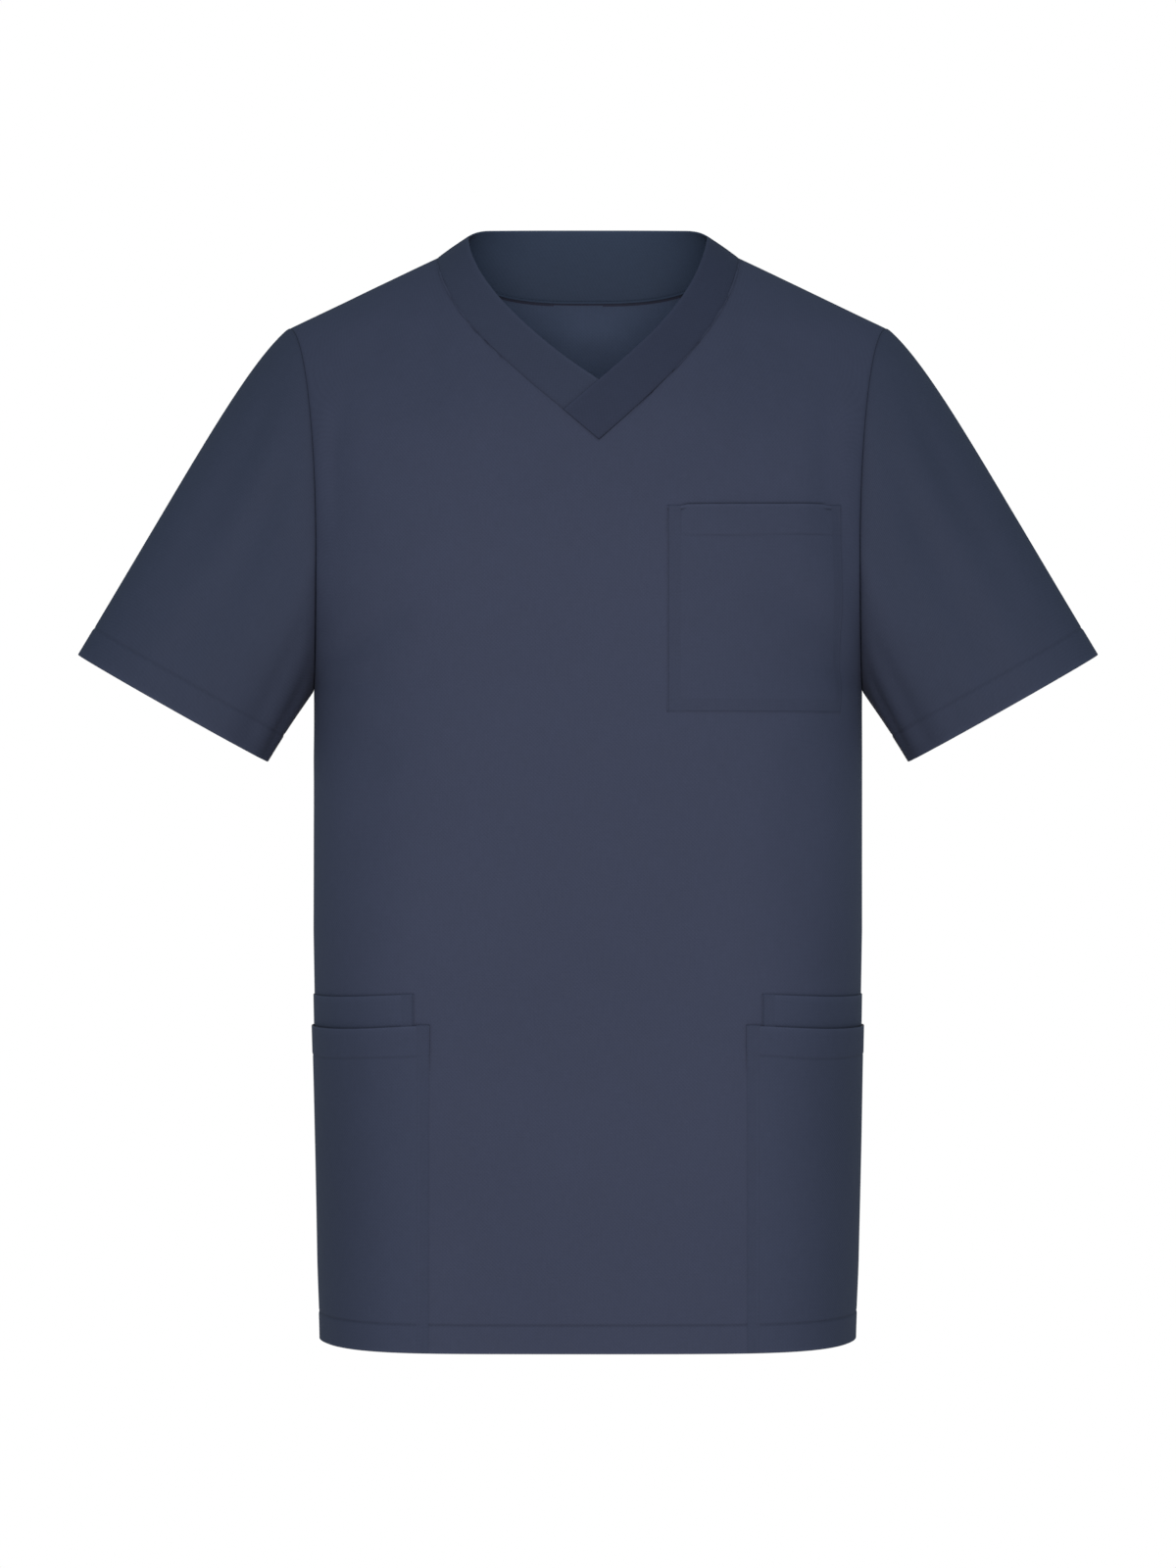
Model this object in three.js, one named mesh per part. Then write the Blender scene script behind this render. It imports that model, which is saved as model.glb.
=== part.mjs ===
// Short-sleeved V-neck scrub top, filled out as when worn, with nobody in it.
// Millimetres, +Z up. The front faces -Y, and the wearer's left arm is at +X.
// The origin is midway between the two points where the neckband meets the
// shoulder seams, where the shoulders carry the garment.
import * as THREE from "three";

// Driving dimensions. Heights are measured from the neck end of the shoulder seam.
const bodyLength = 770;
const hemHalfWidth = 190;
const chestHalfWidth = 195.6;
const taperHeight = -480; // the sides come in a little below this
const neckHalfWidth = 108;
const tip = { x: 213.9, z: -50.4 }; // outer end of the shoulder seam
const underarmHeight = -309.4;
const yokeHeight = -170; // grid rows are level up to here, then rise to the neck and shoulders
const seamGap = 0.3;
const panelCloth = 1.4;
const pocketCloth = 1;
const hem = { height: 20, extraCloth: 0.8, step: 2 };

// Half depth of the body, front and back, and how square its plan outline is.
const sections = [
  { z: -770, front: 119, back: 119, square: 5.2 },
  { z: -585, front: 120, back: 120, square: 4.7 },
  { z: -420, front: 123, back: 121, square: 3.8 },
  { z: -309, front: 126, back: 123, square: 3.2 },
  { z: -200, front: 125, back: 124, square: 3.0 },
  { z: -135, front: 115, back: 120, square: 2.9 },
  { z: -60, front: 93, back: 106, square: 2.8 },
  { z: 20, front: 74, back: 84, square: 2.8 },
];

// Shoulder: how far below its ridge the cloth reaches full depth, at the neck
// and at the tip, and how high the ridge would cross the middle of the neck.
const shoulder = { neckRounding: 150, tipRounding: 85, neckRise: 41.7 };
// Armhole: its half depth as a share of the body's, how high above the underarm
// it reaches that, and how it curves in from a straight line to the shoulder.
const armhole = { depthShare: 0.56, rise: 90, frontInset: 33.3, backInset: 25, low: 0.85, high: 0.45 };

// Front neck seam and free edge of each front band, from the shoulder to the V,
// as the start and the two handles of a Bezier curve. Both seams end at the V
// point; each band then runs on across it and ends on the other side's seam.
const vPoint = { x: 7.5, z: -137 };
const neckSeam = {
  left: [{ x: neckHalfWidth, z: 0 }, { x: 103, z: -46 }, { x: 63, z: -89 }],
  right: [{ x: -neckHalfWidth, z: 0 }, { x: -102.4, z: -48 }, { x: -52, z: -86 }],
};
const bandEdge = {
  left: [{ x: 86, z: 17 }, { x: 77, z: -39 }, { x: 35, z: -71 }],
  right: [{ x: -86, z: 17 }, { x: -84, z: -26 }, { x: -27, z: -76 }],
};
const backNeck = { drop: 24, curve: 3.2 };
const band = { across: 4, cloth: 1.3, split: 0.95, crossingFrom: 0.5, crossingTo: 0.72 };
const bandEnd = { left: 0.86, right: 0.82 }; // share of the other side's seam where the free edge ends
const backBand = { topHalfWidth: 86, topDepth: 75, shoulderTop: 17, rise: 10.5, round: 2.6 };

const sleeve = {
  cuffTop: { x: 363.7, z: -282.8 },
  cuffBottom: { x: 228.6, z: -359.1 },
  cuffHalfDepth: 48,
  forward: 0.35, // how strongly the cloth swells to front and back past the seam
  hem: 22,
};
// Direction below level and handle lengths where the sleeve leaves the armhole
// and where it reaches the cuff, on the top line and on the underarm line.
const sleeveLines = {
  top: { leaves: 40, leaveHandle: 40, arrives: 59, arriveHandle: 150 },
  bottom: { leaves: 56.4, leaveHandle: 15, arrives: 59, arriveHandle: 30 },
};

const chestPocket = { left: 55, right: 175, top: -182, band: 20, bottom: -326, tack: 11, swell: 1.2 };
const lowerPocket = { edge: 110, top: -545, band: 21.5, gape: 1.4 };
const innerPocket = { edge: 121, top: -523, bottom: -690, gape: 0.8 };

// Columns of the body grid from the middle to the side: where each lies on the
// body, and the share of the neck seam from the V point where it ends.
const neckColumns = [
  { low: 8, front: 1, back: 0 },
  { low: 30, front: 0.86, back: 0.2 },
  { low: chestPocket.left, front: 0.72, back: 0.38 },
  { low: 66, front: 0.58, back: 0.54 },
  { low: 77, front: 0.46, back: 0.67 },
  { low: 88, front: 0.35, back: 0.78 },
  { low: 99, front: 0.25, back: 0.87 },
  { low: lowerPocket.edge, front: 0.16, back: 0.93 },
  { low: innerPocket.edge, front: 0.09, back: 0.97 },
  { low: 130, front: 0.035, back: 0.99 },
  { low: 138, front: 0, back: 1 },
];
const shoulderColumns = [146, 155, 165, chestPocket.right];
const sideColumns = 5;
const columnsPerSide = neckColumns.length + shoulderColumns.length + sideColumns;

const bodyRows = [
  -bodyLength, hem.height - bodyLength, hem.height + hem.step - bodyLength, -690, -630,
  lowerPocket.top - lowerPocket.band, lowerPocket.top, innerPocket.top, -460, -395,
  chestPocket.bottom,
];
const armholeRows = [
  underarmHeight, -307.5, -302, -291, -275, -255, -230,
  chestPocket.top - chestPocket.band, chestPocket.top, yokeHeight,
];
const yokeRows = [0.12, 0.25, 0.4, 0.55, 0.69, 0.81, 0.9, 0.965, 1];

const clamp = (value) => Math.min(1, Math.max(0, value));
const mix = (from, to, share) => from + (to - from) * share;
const smooth = (share) => clamp(share) ** 2 * (3 - 2 * clamp(share));
const point = (x, y, z) => new THREE.Vector3(x, y, z);

function bezier([a, b, c, d], share) {
  const rest = 1 - share;
  const along = (axis) =>
    a[axis] * rest ** 3 + 3 * b[axis] * share * rest ** 2 + 3 * c[axis] * share ** 2 * rest + d[axis] * share ** 3;
  return { x: along("x"), z: along("z") };
}

// A smooth curve through one column of the sections table.
function sectionAt(column, z) {
  const last = sections.length - 1;
  const at = sections.findIndex((row) => z <= row.z);
  if (at === 0) return sections[0][column];
  if (at < 0) return sections[last][column];
  const slope = (i) => {
    const before = sections[Math.max(0, i - 1)];
    const after = sections[Math.min(last, i + 1)];
    return (after[column] - before[column]) / (after.z - before.z);
  };
  const low = sections[at - 1];
  const high = sections[at];
  const span = high.z - low.z;
  const t = (z - low.z) / span;
  const start = low[column] * (1 + 2 * t) * (1 - t) ** 2 + span * slope(at - 1) * t * (1 - t) ** 2;
  return start + high[column] * t ** 2 * (3 - 2 * t) + span * slope(at) * t ** 2 * (t - 1);
}

// Height of the shoulder ridge over a point x from the middle.
function ridge(x) {
  const out = Math.abs(x);
  if (out < neckHalfWidth) return shoulder.neckRise * (1 - (out / neckHalfWidth) ** 2);
  return ((out - neckHalfWidth) * tip.z) / (tip.x - neckHalfWidth);
}

// Half width of a panel at a height: to its side seam, or to its armhole.
function edgeAt(face, z) {
  if (z <= underarmHeight) {
    const below = clamp((taperHeight - z) / (taperHeight + bodyLength));
    return mix(chestHalfWidth, hemHalfWidth, below);
  }
  const up = clamp((z - underarmHeight) / (tip.z - underarmHeight));
  const inset = face < 0 ? armhole.frontInset : armhole.backInset;
  return mix(chestHalfWidth, tip.x, up) - inset * up ** armhole.low * (1 - up) ** armhole.high;
}

// Half depth at a panel's edge, as a share of the body's half depth.
function edgeShare(z) {
  const up = clamp((z - underarmHeight) / armhole.rise);
  return armhole.depthShare * Math.sqrt(1 - (1 - up ** 1.4) ** 1.6);
}

const sideName = (side) => (side > 0 ? "left" : "right");
const seamPoint = (side, share) => bezier([...neckSeam[sideName(side)], vPoint], share);
function edgePoint(side, share) {
  const name = sideName(side);
  return bezier([...bandEdge[name], seamPoint(-side, bandEnd[name])], share);
}

// Square of the distance between the body's surface and the plane of the seams.
function depthSquared(face, x, z) {
  const depth = sectionAt(face < 0 ? "front" : "back", z);
  const square = sectionAt("square", z);
  const reach = edgeAt(face, z) / (1 - edgeShare(z) ** 2) ** (1 / square);
  const out = clamp((Math.abs(x) - neckHalfWidth) / (tip.x - neckHalfWidth));
  const under = clamp((ridge(x) - z) / mix(shoulder.neckRounding, shoulder.tipRounding, out));
  return depth ** 2 * (2 * under - under ** 2) * Math.max(0, 1 - (Math.abs(x) / reach) ** square);
}

// A point on the body's surface. Panels stop half a seam gap short of the seam plane.
function onBody(face, x, z) {
  return point(x, face * Math.max(seamGap / 2, Math.sqrt(depthSquared(face, x, z))), z);
}

function outwards(face, p) {
  const step = 0.05; // measured from the panel's side of its edges
  const away = p.x > 0 ? step : -step;
  const atEdge = Math.abs(p.x) > edgeAt(face, p.z) - 1;
  const across = atEdge ? [p.x - away, p.x] : [p.x - away, p.x + away];
  const [near, far] = across.map((x) => depthSquared(face, x, p.z));
  const slopeX = (far - near) / (across[1] - across[0]);
  const slopeZ = (depthSquared(face, p.x, p.z) - depthSquared(face, p.x, p.z - step)) / step;
  const flat = Math.abs(p.y) <= seamGap / 2;
  return point(-slopeX, flat ? 0 : 2 * p.y, -slopeZ).normalize();
}

// Column places across half a panel at a level row, from the middle to the edge.
function columnPlaces(face, z) {
  const places = [...neckColumns.map((column) => column.low), ...shoulderColumns];
  const edge = edgeAt(face, z);
  const square = sectionAt("square", z);
  const reach = edge / (1 - edgeShare(z) ** 2) ** (1 / square);
  const turnAt = (x) => Math.asin(clamp((x / reach) ** (square / 2)));
  const from = turnAt(chestPocket.right);
  const to = turnAt(edge);
  for (let i = 1; i <= sideColumns; i++) {
    places.push(reach * Math.sin(mix(from, to, i / sideColumns)) ** (2 / square));
  }
  return places;
}

// Where the columns of one side of a panel end on the neck seam and the shoulder seam.
function columnEnds(face, side) {
  const ends = neckColumns.map((column) => {
    if (face < 0) return seamPoint(side, column.front);
    return { x: side * neckHalfWidth * column.back, z: -backNeck.drop * (1 - column.back ** backNeck.curve) };
  });
  const count = shoulderColumns.length + sideColumns;
  for (let i = 1; i <= count; i++) {
    const x = mix(neckHalfWidth, tip.x, i / count);
    ends.push({ x: side * x, z: ridge(x) });
  }
  return ends;
}

// One row of outer points from the wearer's right edge to the left edge. The
// middle column runs up to the V point, or to the middle of the back neck.
function panelRow(face, z, rise) {
  const edgeHeight = mix(z, tip.z, rise);
  const halves = [1, -1].map((side) => {
    const ends = columnEnds(face, side);
    return columnPlaces(face, z).map((place, i) => {
      const low = i > 0 ? side * place : face < 0 ? vPoint.x : 0;
      const share = mix(low / edgeAt(face, z), ends[i].x / tip.x, rise ** 2);
      return onBody(face, share * edgeAt(face, edgeHeight), mix(z, ends[i].z, rise));
    });
  });
  return [...halves[1].slice(1).reverse(), ...halves[0]];
}

// Outer points and outward directions of a body panel, row by row from the hem.
function panelGrid(face) {
  const level = [...bodyRows, ...armholeRows].map((z) => panelRow(face, z, 0));
  const yoke = yokeRows.map((rise) => panelRow(face, yokeHeight, rise));
  const points = [...level, ...yoke];
  return { points, out: points.map((row) => row.map((p) => outwards(face, p))) };
}

const moved = (p, direction, distance) => p.clone().addScaledVector(direction, distance);

// A closed cloth wall between an outer and an inner grid of points.
function wall(name, outer, inner, round = false) {
  const rows = outer.length;
  const columns = outer[0].length;
  const corners = [...outer.flat(), ...inner.flat()];
  const at = (layer, i, j) => layer * rows * columns + i * columns + (j % columns);
  const faces = [];
  const quad = (a, b, c, d) => faces.push(a, b, c, a, c, d);
  const across = round ? columns : columns - 1;
  for (let j = 0; j < across; j++) {
    for (let i = 0; i < rows - 1; i++) {
      quad(at(0, i, j), at(0, i, j + 1), at(0, i + 1, j + 1), at(0, i + 1, j));
      quad(at(1, i, j), at(1, i + 1, j), at(1, i + 1, j + 1), at(1, i, j + 1));
    }
    quad(at(0, 0, j), at(1, 0, j), at(1, 0, j + 1), at(0, 0, j + 1));
    quad(at(0, rows - 1, j), at(0, rows - 1, j + 1), at(1, rows - 1, j + 1), at(1, rows - 1, j));
  }
  if (!round) {
    const end = columns - 1;
    for (let i = 0; i < rows - 1; i++) {
      quad(at(0, i, 0), at(0, i + 1, 0), at(1, i + 1, 0), at(1, i, 0));
      quad(at(0, i, end), at(1, i, end), at(1, i + 1, end), at(0, i + 1, end));
    }
  }
  let volume = 0;
  for (let i = 0; i < faces.length; i += 3) {
    const [a, b, c] = [corners[faces[i]], corners[faces[i + 1]], corners[faces[i + 2]]];
    volume += a.dot(b.clone().cross(c));
  }
  if (volume < 0) faces.reverse(); // faces point out of the cloth
  const geometry = new THREE.BufferGeometry();
  geometry.setAttribute("position", new THREE.Float32BufferAttribute(corners.flatMap((p) => p.toArray()), 3));
  geometry.setIndex(faces);
  geometry.computeVertexNormals();
  const mesh = new THREE.Mesh(geometry, clothMaterial(name));
  mesh.name = name;
  return mesh;
}

// One navy cloth all over; bands and pockets are doubled and look a little denser.
function clothMaterial(name) {
  const doubled = /band|pocket/.test(name);
  return new THREE.MeshStandardMaterial({
    name: doubled ? "navy cloth, doubled" : "navy cloth",
    color: doubled ? 0x3a4153 : 0x3d4356,
    roughness: 0.86,
    metalness: 0,
  });
}

// The cloth of a body panel, thicker inside where the hem is turned up.
function bodyPanel(name, grid) {
  const inner = grid.points.map((row, i) => {
    const turnedUp = row[0].z <= hem.height - bodyLength ? hem.extraCloth : 0;
    return row.map((p, j) => moved(p, grid.out[i][j], -panelCloth - turnedUp));
  });
  return wall(name, grid.points, inner);
}

// The armhole edge of both panels, from the shoulder tip down the front and up the back.
function armholeLoop(side) {
  const heights = [...armholeRows, ...yokeRows.map((rise) => mix(yokeHeight, tip.z, rise))];
  const front = heights.slice().reverse().map((z) => ({ face: -1, z }));
  const back = heights.slice(1, -1).map((z) => ({ face: 1, z }));
  return [...front, ...back].map(({ face, z }) => {
    const p = onBody(face, side * edgeAt(face, z), z);
    const out = outwards(face, p);
    if (z === underarmHeight || z === tip.z) p.y = 0;
    return { p, out, face };
  });
}

// A direction in the plane of the front view, given in degrees below level.
function falling(side, degrees) {
  const turn = THREE.MathUtils.degToRad(degrees);
  return point(side * Math.cos(turn), 0, -Math.sin(turn));
}

// Where the sleeve's wall starts beside the armhole edge, and its first direction inwards.
function sleeveStart(loop, i) {
  const { p, out } = loop[i];
  const next = loop[(i + 1) % loop.length].p;
  const before = loop[(i + loop.length - 1) % loop.length].p;
  const along = next.clone().sub(before).normalize();
  const off = along.clone().cross(out).normalize();
  if (off.dot(point(p.x, 0, (tip.z + underarmHeight) / 2).sub(p)) < 0) off.negate();
  return moved(moved(p, off, seamGap), out, seamGap / 2);
}

function sleeveGrid(side, alongShares) {
  const loop = armholeLoop(side);
  const cuffTop = point(side * sleeve.cuffTop.x, 0, sleeve.cuffTop.z);
  const cuffBottom = point(side * sleeve.cuffBottom.x, 0, sleeve.cuffBottom.z);
  const cuffMiddle = cuffTop.clone().lerp(cuffBottom, 0.5);
  const cuffHalf = cuffTop.clone().sub(cuffMiddle);
  const middle = (tip.z + underarmHeight) / 2;
  const half = (tip.z - underarmHeight) / 2;
  const { top, bottom } = sleeveLines;
  const lines = loop.map(({ p, out, face }, i) => {
    const height = Math.min(1, Math.max(-1, (p.z - middle) / half));
    const fullness = Math.sqrt(1 - height ** 2); // 0 on the top and underarm lines
    const low = (1 - height) / 2;
    const leaves = falling(side, mix(top.leaves, bottom.leaves, low));
    const swelling = leaves.clone().setY(face * sleeve.forward * fullness);
    const start = sleeveStart(loop, i);
    const end = cuffMiddle.clone().addScaledVector(cuffHalf, height);
    end.y = face * sleeve.cuffHalfDepth * fullness;
    const arrives = falling(side, mix(top.arrives, bottom.arrives, low));
    const first = moved(start, swelling, mix(top.leaveHandle, bottom.leaveHandle, low));
    const second = moved(end, arrives, -mix(top.arriveHandle, bottom.arriveHandle, low));
    return { curve: new THREE.CubicBezierCurve3(start, first, second, end), out, low };
  });
  const points = alongShares.map((share) => lines.map((line) => line.curve.getPoint(share)));
  const out = points.map((row, i) =>
    row.map((p, j) => {
      const around = row[(j + 1) % row.length].clone().sub(row[(j + row.length - 1) % row.length]);
      const after = points[Math.min(i + 1, points.length - 1)][j];
      const along = after.clone().sub(points[Math.max(i - 1, 0)][j]);
      const away = along.cross(around).normalize().multiplyScalar(-side);
      // At the armhole the walls of sleeve and body stay side by side.
      return i === 0 ? lines[j].out.clone().lerp(away, lines[j].low).normalize() : away;
    }),
  );
  return { points, out };
}

function sleeveTube(name, side) {
  const length = Math.hypot(sleeve.cuffTop.x - tip.x, sleeve.cuffTop.z - tip.z);
  const turned = 1 - sleeve.hem / length;
  const shares = [0, 0.06, 0.15, 0.27, 0.41, 0.56, 0.72, turned - 0.01, turned, 1];
  const grid = sleeveGrid(side, shares);
  const inner = grid.points.map((row, i) => {
    const extra = shares[i] >= turned ? hem.extraCloth : 0;
    return row.map((p, j) => moved(p, grid.out[i][j], -panelCloth - extra));
  });
  return wall(name, grid.points, inner, true);
}

// Outward directions of any grid, from its neighbouring points.
function gridOut(points, facing) {
  return points.map((row, i) =>
    row.map((p, j) => {
      const across = row[Math.min(j + 1, row.length - 1)].clone().sub(row[Math.max(j - 1, 0)]);
      const above = points[Math.min(i + 1, points.length - 1)][j];
      const up = above.clone().sub(points[Math.max(i - 1, 0)][j]);
      const out = across.cross(up).normalize();
      return out.dot(facing(p)) < 0 ? out.negate() : out;
    }),
  );
}

const fromNeckAxis = (p) => point(p.x, p.y, Math.abs(p.x) * 0.2);

// A front neckband from its shoulder seam to its end on the far side of the V.
// The wearer's left band lies over the right one where they cross.
function frontBand(name, side) {
  const shares = neckColumns.map((column) => column.front).reverse();
  shares[shares.length - 1] -= 0.0018; // stops a seam gap short of the other side's seam
  const points = shares.map((share) => {
    const seam = seamPoint(side, share);
    const edge = edgePoint(side, share);
    const start = seamGap / Math.hypot(edge.x - seam.x, edge.z - seam.z);
    return Array.from({ length: band.across + 1 }, (_, k) => {
      const across = mix(start, 1, k / band.across);
      return onBody(-1, mix(seam.x, edge.x, across), mix(seam.z, edge.z, across));
    });
  });
  const out = gridOut(points, fromNeckAxis);
  out[0].forEach((direction) => direction.setY(0).normalize()); // flat against the back band
  const crossing = band.crossingTo - band.crossingFrom;
  const lift = (i) => side * band.split * smooth((shares[i] - band.crossingFrom) / crossing);
  const outer = points.map((row, i) => row.map((p, j) => moved(p, out[i][j], lift(i))));
  const inner = points.map((row, i) => row.map((p, j) => moved(p, out[i][j], lift(i) - band.cloth)));
  return wall(name, outer, inner);
}

// The back neckband stands up from the back neck seam.
function neckBack(name) {
  const half = neckColumns.map((column) => column.back);
  const shares = [...half.slice(1).map((share) => -share).reverse(), ...half];
  const points = shares.map((share) => {
    const way = Math.abs(share);
    const seam = onBody(1, neckHalfWidth * share, -backNeck.drop * (1 - way ** backNeck.curve));
    const depth = Math.max(seamGap / 2, backBand.topDepth * Math.sqrt(1 - way ** backBand.round));
    const height = backBand.shoulderTop + backBand.rise * (depth / backBand.topDepth);
    const edge = point(backBand.topHalfWidth * share, depth, height);
    const start = moved(seam, edge.clone().sub(seam).normalize(), seamGap);
    return Array.from({ length: band.across + 1 }, (_, k) => start.clone().lerp(edge, k / band.across));
  });
  const out = gridOut(points, fromNeckAxis);
  for (const end of [0, points.length - 1]) {
    out[end].forEach((direction) => direction.setY(0).normalize());
  }
  const inner = points.map((row, i) => row.map((p, j) => moved(p, out[i][j], -band.cloth)));
  return wall(name, points, inner);
}

// A patch laid on the front panel: its own points, moved out by a distance that
// the rest of the pocket gives for each height and column.
function pocket(name, grid, columns, rows, distance) {
  const take = (of) => of.slice(rows[0], rows[1] + 1).map((row) => columns.map((j) => row[j]));
  const points = take(grid.points);
  const out = take(grid.out);
  const lift = points.map((row) => row.map((p, j) => distance(p, j, row.length)));
  const outer = points.map((row, i) => row.map((p, j) => moved(p, out[i][j], lift[i][j].from + lift[i][j].cloth)));
  const inner = points.map((row, i) => row.map((p, j) => moved(p, out[i][j], lift[i][j].from)));
  return wall(name, outer, inner);
}

// Index of a column by its place on one side, and of a row by its height.
const lows = [...neckColumns.map((column) => column.low), ...shoulderColumns];
const columnAt = (side, low) => columnsPerSide - 1 + side * lows.indexOf(low);
const rowAt = (z) => [...bodyRows, ...armholeRows].indexOf(z);
function columnsBetween(from, to) {
  const step = Math.sign(to - from);
  return Array.from({ length: Math.abs(to - from) + 1 }, (_, k) => from + k * step);
}

// The breast pocket is flat on the panel and swells a little at its mouth.
function breastPocket(grid) {
  const columns = columnsBetween(columnAt(1, chestPocket.left), columnAt(1, chestPocket.right));
  const rows = [rowAt(chestPocket.bottom), rowAt(chestPocket.top)];
  const middle = (chestPocket.left + chestPocket.right) / 2;
  const reach = (chestPocket.right - chestPocket.left) / 2 - chestPocket.tack;
  return pocket("chest_pocket", grid, columns, rows, (p) => {
    const inBand = p.z >= chestPocket.top - chestPocket.band;
    const open = smooth(1 - (chestPocket.top - p.z) / 45) * smooth((1 - Math.abs(p.x - middle) / reach) * 2);
    return { from: seamGap + chestPocket.swell * open, cloth: pocketCloth + (inBand ? 0.4 : 0) };
  });
}

// How far a lower pocket's mouth stands open, most near the side seam.
function gaping(p, mouth, amount) {
  const nearSide = smooth((Math.abs(p.x) - lowerPocket.edge) / 60);
  const pinned = smooth(Math.abs(p.y) / 70);
  return amount * smooth(1 - (mouth - p.z) / 50) * nearSide * pinned;
}

// The larger lower pocket covers the smaller one and runs down into the hem.
function outerLowerPocket(name, grid, side) {
  const columns = columnsBetween(columnAt(side, lowerPocket.edge), columnsPerSide - 1 + side * (columnsPerSide - 1));
  return pocket(name, grid, columns, [0, rowAt(lowerPocket.top)], (p, j) => {
    const overInner = smooth(j) * smooth((p.z + bodyLength) / 60);
    const open = gaping(p, innerPocket.top, innerPocket.gape) + gaping(p, lowerPocket.top, lowerPocket.gape);
    const inBand = p.z >= lowerPocket.top - lowerPocket.band;
    return {
      from: seamGap + overInner * (pocketCloth + seamGap) + open,
      cloth: pocketCloth + (inBand ? 0.4 : 0),
    };
  });
}

function innerLowerPocket(name, grid, side) {
  const columns = columnsBetween(columnAt(side, innerPocket.edge), columnsPerSide - 1 + side * (columnsPerSide - 1));
  return pocket(name, grid, columns, [rowAt(innerPocket.bottom), rowAt(innerPocket.top)], (p) => ({
    from: seamGap + gaping(p, innerPocket.top, innerPocket.gape),
    cloth: pocketCloth,
  }));
}

const frontGrid = panelGrid(-1);
const backGrid = panelGrid(1);
const scrubTop = new THREE.Group();
scrubTop.add(
  bodyPanel("front", frontGrid),
  bodyPanel("back", backGrid),
  sleeveTube("sleeve_left", 1),
  sleeveTube("sleeve_right", -1),
  frontBand("neckband_left", 1),
  frontBand("neckband_right", -1),
  neckBack("neckband_back"),
  breastPocket(frontGrid),
  outerLowerPocket("pocket_left", frontGrid, 1),
  outerLowerPocket("pocket_right", frontGrid, -1),
  innerLowerPocket("inner_pocket_left", frontGrid, 1),
  innerLowerPocket("inner_pocket_right", frontGrid, -1),
);

export default scrubTop;
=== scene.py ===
import bpy
import math
import numpy as np
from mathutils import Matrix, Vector


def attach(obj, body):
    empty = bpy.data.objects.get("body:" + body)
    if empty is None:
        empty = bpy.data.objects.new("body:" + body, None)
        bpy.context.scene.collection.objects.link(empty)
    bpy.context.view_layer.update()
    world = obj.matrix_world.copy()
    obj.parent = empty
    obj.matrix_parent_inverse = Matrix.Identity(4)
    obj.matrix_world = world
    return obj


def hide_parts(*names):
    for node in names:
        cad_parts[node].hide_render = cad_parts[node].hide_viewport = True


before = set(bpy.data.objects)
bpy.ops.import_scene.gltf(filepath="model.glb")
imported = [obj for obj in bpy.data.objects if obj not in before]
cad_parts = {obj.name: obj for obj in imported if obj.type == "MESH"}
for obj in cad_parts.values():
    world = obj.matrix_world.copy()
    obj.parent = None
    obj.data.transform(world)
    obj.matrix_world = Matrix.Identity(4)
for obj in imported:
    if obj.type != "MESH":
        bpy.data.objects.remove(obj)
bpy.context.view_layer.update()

metre = 0.001

# The form of the cloth, with the same sizes as the solids.
form = {
    "length": 770, "hemHalf": 190, "chestHalf": 195.6, "taperFrom": -480,
    "neckHalf": 108, "tipX": 213.9, "tipZ": -50.4, "underarm": -309.4, "yoke": -170,
    "neckRounding": 150, "tipRounding": 85, "neckRise": 41.7,
    "armholeDepth": 0.56, "armholeRise": 90, "frontInset": 33.3, "backInset": 25,
    "vX": 7.5, "backNeckDrop": 24, "backNeckCurve": 3.2,
}
# height, half depth of the front, half depth of the back, squareness of the plan
sections = np.array([
    (-770, 119, 119, 5.2), (-585, 120, 120, 4.7), (-420, 123, 121, 3.8), (-309, 126, 123, 3.2),
    (-200, 125, 124, 3.0), (-135, 115, 120, 2.9), (-60, 93, 106, 2.8), (20, 74, 84, 2.8),
])
neckSeam = {
    1: [(108, 0), (103, -46), (63, -89), (7.5, -137)],
    -1: [(-108, 0), (-102.4, -48), (-52, -86), (7.5, -137)],
}
# columns of the grid from the middle to the shoulder: place across the body,
# share of the front neck seam, share of the back neck's half width. The neck seam
# ends at one of them, and another is the last before they turn round the side.
neckColumn, flatColumn, lastColumn = 10, 14, 19
innerColumns = ((0, 2, 0.16), (2, neckColumn, 0.34), (neckColumn, flatColumn, 0.42))
outerColumns = ((flatColumn, 18.5, 0.26), (18.5, 18.9, 0.12), (18.9, lastColumn, 0.05))
columnLows = [7.5, 30, 55, 66, 77, 88, 99, 110, 121, 130, 138, 146, 155, 165, 175]
columnFront = [1, 0.86, 0.72, 0.58, 0.46, 0.35, 0.25, 0.16, 0.09, 0.035, 0]
columnBack = [0, 0.2, 0.38, 0.54, 0.67, 0.78, 0.87, 0.93, 0.97, 0.99, 1]


def mix(a, b, share):
    return a + (b - a) * share


def smooth(share):
    share = np.clip(share, 0, 1)
    return share * share * (3 - 2 * share)


def bell(distance, width, power=2):
    # A soft line: one along the line itself, and nothing a few widths away.
    return np.exp(-((distance / width) ** power))


def unit(v):
    return v / np.maximum(np.linalg.norm(v, axis=-1, keepdims=True), 1e-9)


def cubic(a, b, c, d, t):
    return a * (1 - t) ** 3 + 3 * b * t * (1 - t) ** 2 + 3 * c * t ** 2 * (1 - t) + d * t ** 3


def bezier(handles, share):
    return cubic(*[np.array(h, float) for h in handles], np.asarray(share, float)[..., None])


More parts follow.
